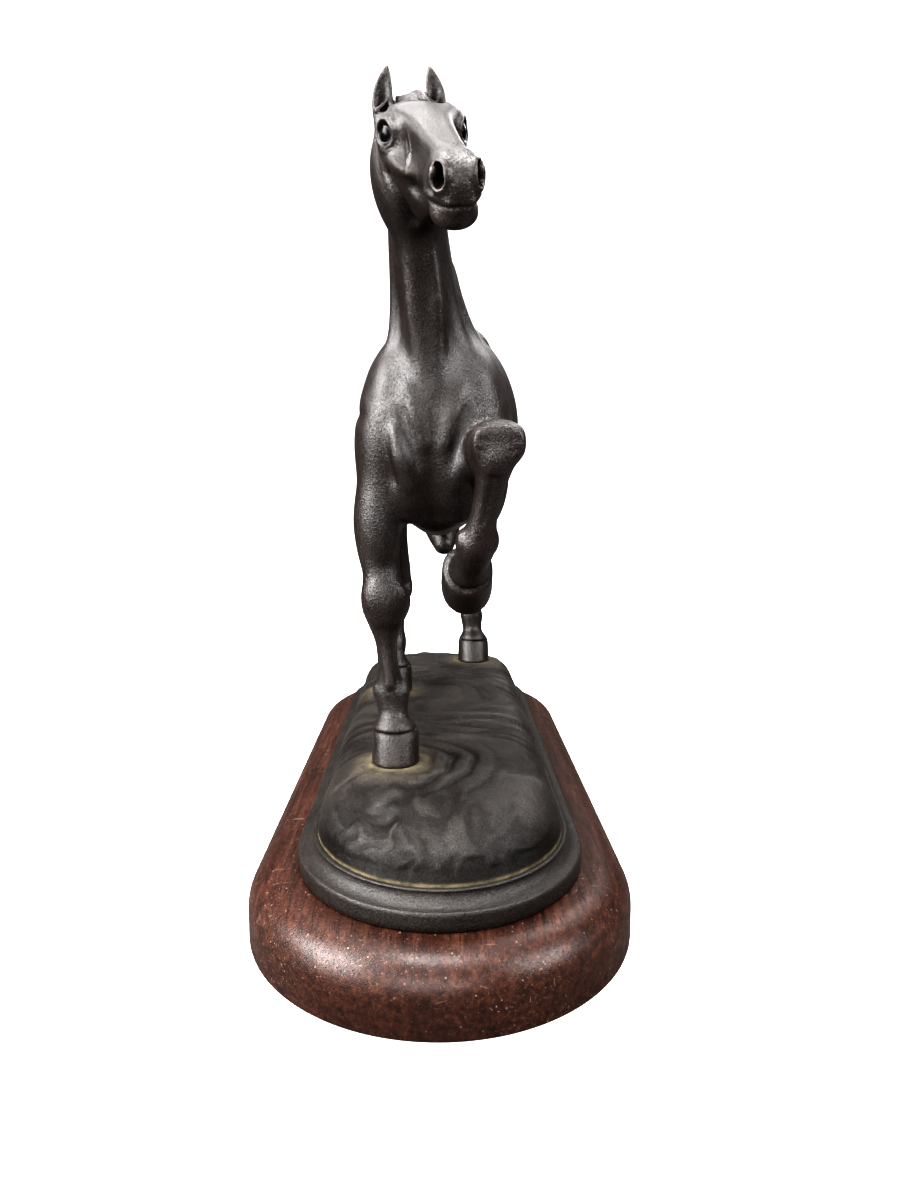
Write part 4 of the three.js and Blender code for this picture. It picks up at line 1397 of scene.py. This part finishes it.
BRONZE = {"Metallic": 0.08, "IOR": 1.62}        # a patina hides the metal
HORSE_BROWNS = (0.0092, 0.0056, 0.0045), (0.024, 0.0152, 0.0126)
HORSE_RUBBED = (0.060, 0.042, 0.034)
# dark of the creases: painted shade, with some dark dirt
HORSE_CREASE_SHADE_AND_DIRT = (0.005, 0.003, 0.0022)
HORSE_DUST = (0.075, 0.066, 0.045)
HORSE_PIT = (0.004, 0.003, 0.002)
HORSE_EYE = (0.003, 0.002, 0.002)
BASE_BROWNS = (0.0105, 0.0078, 0.0062), (0.026, 0.0200, 0.0162)
BASE_RUBBED = (0.062, 0.054, 0.045)
BASE_PIT = (0.006, 0.0042, 0.0034)
BASE_SHADOW = (0.004, 0.0026, 0.0018)
RESIDUE = (0.21, 0.18, 0.118)                   # old wax in the seams and round the hooves
WOOD_REDS = (0.026, 0.0092, 0.0056), (0.064, 0.0245, 0.0150), (0.13, 0.054, 0.034)
WOOD_PORE = (0.006, 0.002, 0.0015)
WOOD_DUST = (0.36, 0.29, 0.23)
WHITE = (1, 1, 1)


def horse_bronze():
    """Dark brown patina: paler where hands rub it, painted shade and some dark dirt in the creases, dusty in
    deep creases, wet-looking in the eyes.
    """
    m = Nodes("horse_bronze")
    bulge = m.attribute("bulge")
    cloud = m.noise(55, 5, 0.6)
    colour = m.ramp(cloud, (0.3, HORSE_BROWNS[0]), (0.72, HORSE_BROWNS[1]))
    rubbed = m.ramp(bulge, (0.06, 0), (0.32, 1))
    colour = m.mix(m.times(rubbed, 0.4), colour, HORSE_RUBBED)
    # Creases are painted darker and less glossy: painted shade standing in for the shade that falls in them,
    # with some dark dirt
    crease = m.ramp(m.times(bulge, -1.0), (0.05, 0), (0.3, 1))
    colour = m.mix(m.times(crease, 0.8), colour, HORSE_CREASE_SHADE_AND_DIRT)
    deep = m.ramp(m.times(bulge, -1.0), (0.3, 0), (0.7, 1))
    dusty = m.ramp(m.noise(170, 4, 0.65), (0.42, 0.0), (0.66, 1))
    colour = m.mix(m.times(m.times(deep, dusty), 0.5), colour, HORSE_DUST)
    pits = m.ramp(m.noise(900, 3, 0.6), (0.36, 1), (0.47, 0))
    colour = m.mix(m.times(pits, 0.6), colour, HORSE_PIT)
    wet = m.attribute("wet")
    colour = m.mix(wet, colour, HORSE_EYE)
    rough = m.ramp(m.noise(120, 4, 0.6), (0.3, 0.31), (0.75, 0.43))
    rough = m.plus(rough, m.times(crease, 0.25), clamp=True)
    rough = m.less(rough, m.times(wet, 0.08), clamp=True)
    sandy = m.ramp(m.noise(2100, 2, 0.6), (0.36, 0.55), (0.62, 1.2))
    # the gloss taken away in the creases is painted shade as well
    gloss = m.less(0.66, m.times(m.most(crease, wet), 0.5))
    gloss = m.times(gloss, m.most(sandy, wet))
    m.shade(Base_Color=colour, Roughness=rough, Specular_IOR_Level=gloss, **BRONZE)
    dry = m.less(1.0, wet, clamp=True)
    sand = m.times(m.noise(1250, 3, 0.7), dry)
    cast = m.times(m.noise(300, 3, 0.55), dry)
    m.bump((sand, 0.95, 0.3), (cast, 0.2, 0.45))
    return m.material


def base_bronze():
    """The rock and moulding: paler tops, dark pits and foot, old wax round the hooves and in the seam."""
    m = Nodes("base_bronze")
    cloud = m.noise(40, 5, 0.6)
    colour = m.ramp(cloud, (0.3, BASE_BROWNS[0]), (0.72, BASE_BROWNS[1]))
    relief = m.plus(m.attribute("relief"), m.times(m.noise(420, 4, 0.7), 0.6))
    tops = m.ramp(relief, (0.25, 0), (1.1, 1))
    colour = m.mix(m.times(tops, 0.45), colour, BASE_RUBBED)
    pits = m.ramp(relief, (-0.2, 1), (0.2, 0))
    colour = m.mix(m.times(pits, 0.3), colour, BASE_PIT)
    shadow = m.attribute("shadow")
    colour = m.mix(m.times(shadow, 0.75), colour, BASE_SHADOW)
    patch = m.ramp(m.noise(240, 4, 0.65), (0.3, 0.3), (0.62, 1))
    wax = m.times(m.attribute("residue"), patch, clamp=True)
    colour = m.mix(m.times(wax, 0.85), colour, RESIDUE)
    rough = m.ramp(m.noise(150, 4, 0.6), (0.3, 0.4), (0.75, 0.52))
    rough = m.plus(rough, m.times(wax, 0.3), clamp=True)
    rough = m.less(rough, m.times(tops, 0.08), clamp=True)
    dull = m.most(m.most(wax, m.times(pits, 0.5)), shadow)
    sandy = m.ramp(m.noise(2100, 2, 0.6), (0.36, 0.55), (0.62, 1.2))
    gloss = m.times(m.less(0.6, m.times(dull, 0.42)), sandy)
    m.shade(Base_Color=colour, Roughness=rough, Specular_IOR_Level=gloss, **BRONZE)
    m.bump((m.noise(1250, 3, 0.7), 0.9, 0.28), (m.noise(330, 5, 0.66, distortion=0.6), 0.5, 0.6))
    return m.material


def mahogany():
    """Red-brown wood with its grain along the plinth, open pores, and dust and scratches in patches."""
    m = Nodes("mahogany")
    grain = m.noise(420, 5, 0.62, stretch=(1, 0.05, 1), distortion=0.4)
    broad = m.noise(45, 3, 0.5, stretch=(1, 0.12, 1))
    colour = m.ramp(grain, (0.28, WOOD_REDS[0]), (0.5, WOOD_REDS[1]), (0.75, WOOD_REDS[2]))
    colour = m.mix(0.7, colour, m.ramp(broad, (0.3, (0.42, 0.38, 0.36)), (0.7, WHITE)), "MULTIPLY")
    mottle = m.ramp(m.noise(700, 3, 0.6), (0.35, (0.55, 0.5, 0.48)), (0.65, (1.1, 1.1, 1.1)))
    colour = m.mix(0.8, colour, mottle, "MULTIPLY")
    pores = m.ramp(m.noise(1500, 2, 0.5, stretch=(1, 0.06, 1)), (0.33, 1), (0.42, 0))
    colour = m.mix(m.times(pores, 0.6), colour, WOOD_PORE)
    specks = m.ramp(m.cells(300), (0.07, 1), (0.13, 0))
    fine_specks = m.ramp(m.cells(720), (0.1, 1), (0.18, 0))
    area = m.ramp(m.noise(38, 3, 0.6), (0.4, 0.15), (0.6, 1))
    scratches = m.noise(800, 2, 0.7, stretch=(0.07, 1, 0.3), distortion=1.5)
    scratches = m.ramp(scratches, (0.29, 1), (0.32, 0))
    dust = m.most(m.most(specks, m.times(fine_specks, 0.6)), m.times(scratches, 0.8))
    dust = m.times(dust, area, clamp=True)
    colour = m.mix(m.times(dust, 0.7), colour, WOOD_DUST)
    rough = m.ramp(m.noise(160, 4, 0.6), (0.3, 0.34), (0.75, 0.5))
    m.shade(Base_Color=colour, Metallic=0.0, Roughness=rough, IOR=1.5, Coat_Weight=0.06, Coat_Roughness=0.3)
    m.bump((grain, 0.2, 0.2), (m.noise(900, 4, 0.65), 0.35, 0.2), (m.times(pores, -1.0), 0.35, 0.14))
    return m.material


def baize():
    m = Nodes("baize")
    fuzz = m.noise(2200, 3, 0.7)
    green = m.ramp(fuzz, (0.3, (0.008, 0.028, 0.016)), (0.7, (0.02, 0.06, 0.034)))
    m.shade(Base_Color=green, Roughness=0.95, Sheen_Weight=0.4)
    m.bump((fuzz, 0.5, 0.2))
    return m.material


def zinc():
    m = Nodes("fastener_zinc")
    blotch = m.noise(500, 4, 0.6)
    grey = m.ramp(blotch, (0.3, (0.28, 0.28, 0.29)), (0.7, (0.48, 0.48, 0.49)))
    m.shade(Base_Color=grey, Metallic=1.0, Roughness=m.ramp(blotch, (0.3, 0.32), (0.7, 0.5)))
    m.bump((m.noise(1800, 2, 0.5), 0.2, 0.08))
    return m.material


# ---------------- studio

# Places, targets and sizes in m, and power in W
LIGHTS = {
    "key": ((-0.85, -0.25, 0.7), (0, -0.08, 0.2), (0.5, 0.6), 14),
    "left": ((-0.8, -0.52, 0.4), (0, -0.1, 0.22), (0.3, 0.5), 6),
    "top": ((-0.05, -0.2, 1.1), (0, -0.12, 0.1), (0.45, 0.35), 11),
    "side": ((0.75, -0.4, 0.6), (0, 0, 0.17), (0.35, 0.5), 7),
    "front": ((-0.15, -1.2, 0.55), (0, -0.1, 0.22), (0.9, 0.5), 9),
    "crown": ((-0.3, 0.6, 1.1), (0, -0.05, 0.15), (0.8, 0.6), 3),
    "back": ((0.5, 0.75, 1.0), (0, 0, 0.15), (0.6, 0.5), 4),
}
ROOM_DIM = (0.075, 0.072, 0.075)
ROOM_PALE = (0.15, 0.146, 0.145)
FLOOR_REACH = 6.0
FLOOR_GLOW = (0.14, 0.13, 0.125)        # the floor as the bronze sees it
CAMERA_PLACE = (-0.0005, -0.4598, 0.1768)
CAMERA_DROP = 8.01                      # degrees that the camera looks down
CAMERA_TURN = -0.75


def area_light(name, place, target, size, power):
    data = bpy.data.lights.new(name, "AREA")
    data.shape = "RECTANGLE"
    data.size, data.size_y = size
    data.energy = power
    lamp = bpy.data.objects.new(name, data)
    lamp.location = place
    lamp.rotation_euler = (Vector(target) - Vector(place)).to_track_quat("-Z", "Y").to_euler()
    bpy.context.scene.collection.objects.link(lamp)


def studio_world():
    """White to the camera; to the bronze, a dim room in front and a pale wall behind."""
    world = bpy.data.worlds.new("studio")
    world.use_nodes = True
    tree = world.node_tree
    coords, split, ramp, spread, path, mix = (tree.nodes.new("ShaderNode" + kind) for kind in (
        "TexCoord", "SeparateXYZ", "ValToRGB", "MapRange", "LightPath", "Mix"))
    mix.data_type = "RGBA"
    mix.inputs["B"].default_value = (*WHITE, 1)
    ramp.color_ramp.interpolation = "EASE"
    for element, colour in zip(ramp.color_ramp.elements, (ROOM_DIM, ROOM_PALE)):
        element.color = (*colour, 1)
    spread.inputs["From Min"].default_value = -0.7
    spread.inputs["From Max"].default_value = 0.9
    for output, socket in (
            (coords.outputs["Generated"], split.inputs[0]),
            (split.outputs["Y"], spread.inputs["Value"]),
            (spread.outputs[0], ramp.inputs["Fac"]),
            (path.outputs["Is Camera Ray"], mix.inputs["Factor"]),
            (ramp.outputs["Color"], mix.inputs["A"]),
            (mix.outputs["Result"], tree.nodes["Background"].inputs[0])):
        tree.links.new(output, socket)
    bpy.context.scene.world = world


def studio_floor():
    """Pale paper that fades to white with distance. The bronze sees it darker than the camera does."""
    mesh = bpy.data.meshes.new("floor")
    corners = [(x * FLOOR_REACH, y * FLOOR_REACH, 0) for x, y in ((-1, -1), (1, -1), (1, 1), (-1, 1))]
    mesh.from_pydata(corners, [], [(0, 1, 2, 3)])
    floor = bpy.data.objects.new("floor", mesh)
    bpy.context.scene.collection.objects.link(floor)
    m = Nodes("floor")
    path = m.tree.nodes.new("ShaderNodeLightPath")
    paper = m.ramp(m.noise(3, 2, 0.5), (0.3, 0.78), (0.7, 0.82))
    distance = m.tree.nodes.new("ShaderNodeVectorMath")
    distance.operation = "LENGTH"
    m.tree.links.new(m.place, distance.inputs[0])
    far_glow = m.ramp(distance.outputs["Value"], (0.3, 0.8), (1.0, 1.0))
    seen = path.outputs["Is Camera Ray"]
    paper = m.mix(seen, FLOOR_GLOW, paper)
    m.shade(Base_Color=paper, Roughness=0.9, Specular_IOR_Level=0.1, Emission_Color=WHITE,
            Emission_Strength=m.times(seen, far_glow))
    mesh.materials.append(m.material)


def studio():
    studio_world()
    studio_floor()
    for name, settings in LIGHTS.items():
        area_light(name, *settings)
    bpy.context.scene.view_settings.view_transform = "Standard"
    bpy.context.scene.view_settings.look = "Very High Contrast"


def camera():
    data = bpy.data.cameras.new("camera")
    data.lens = 27.0
    data.sensor_width = 36.0
    data.sensor_fit = "AUTO"
    eye_point = bpy.data.objects.new("camera", data)
    eye_point.location = CAMERA_PLACE
    eye_point.rotation_euler = (math.radians(90 - CAMERA_DROP), 0, math.radians(CAMERA_TURN))
    bpy.context.scene.collection.objects.link(eye_point)
    bpy.context.scene.camera = eye_point


def colour_hardware(bronze, metal):
    """Materials for the CAD's own pins, studs, nuts, washers and bolts."""
    for name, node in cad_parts.items():
        steel = name.endswith(("_stud", "_nut")) or "washer" in name or "bolt" in name
        if steel or name.endswith("_pin"):
            node.data.materials.clear()
            node.data.materials.append(metal if steel else bronze)


def main():
    bronze = horse_bronze()
    rock = base_bronze()
    horse_pieces(bronze)
    rock_piece(rock)
    moulding_piece(rock)
    wood_piece(mahogany())
    felt_piece(baize())
    colour_hardware(bronze, zinc())
    studio()
    camera()


main()
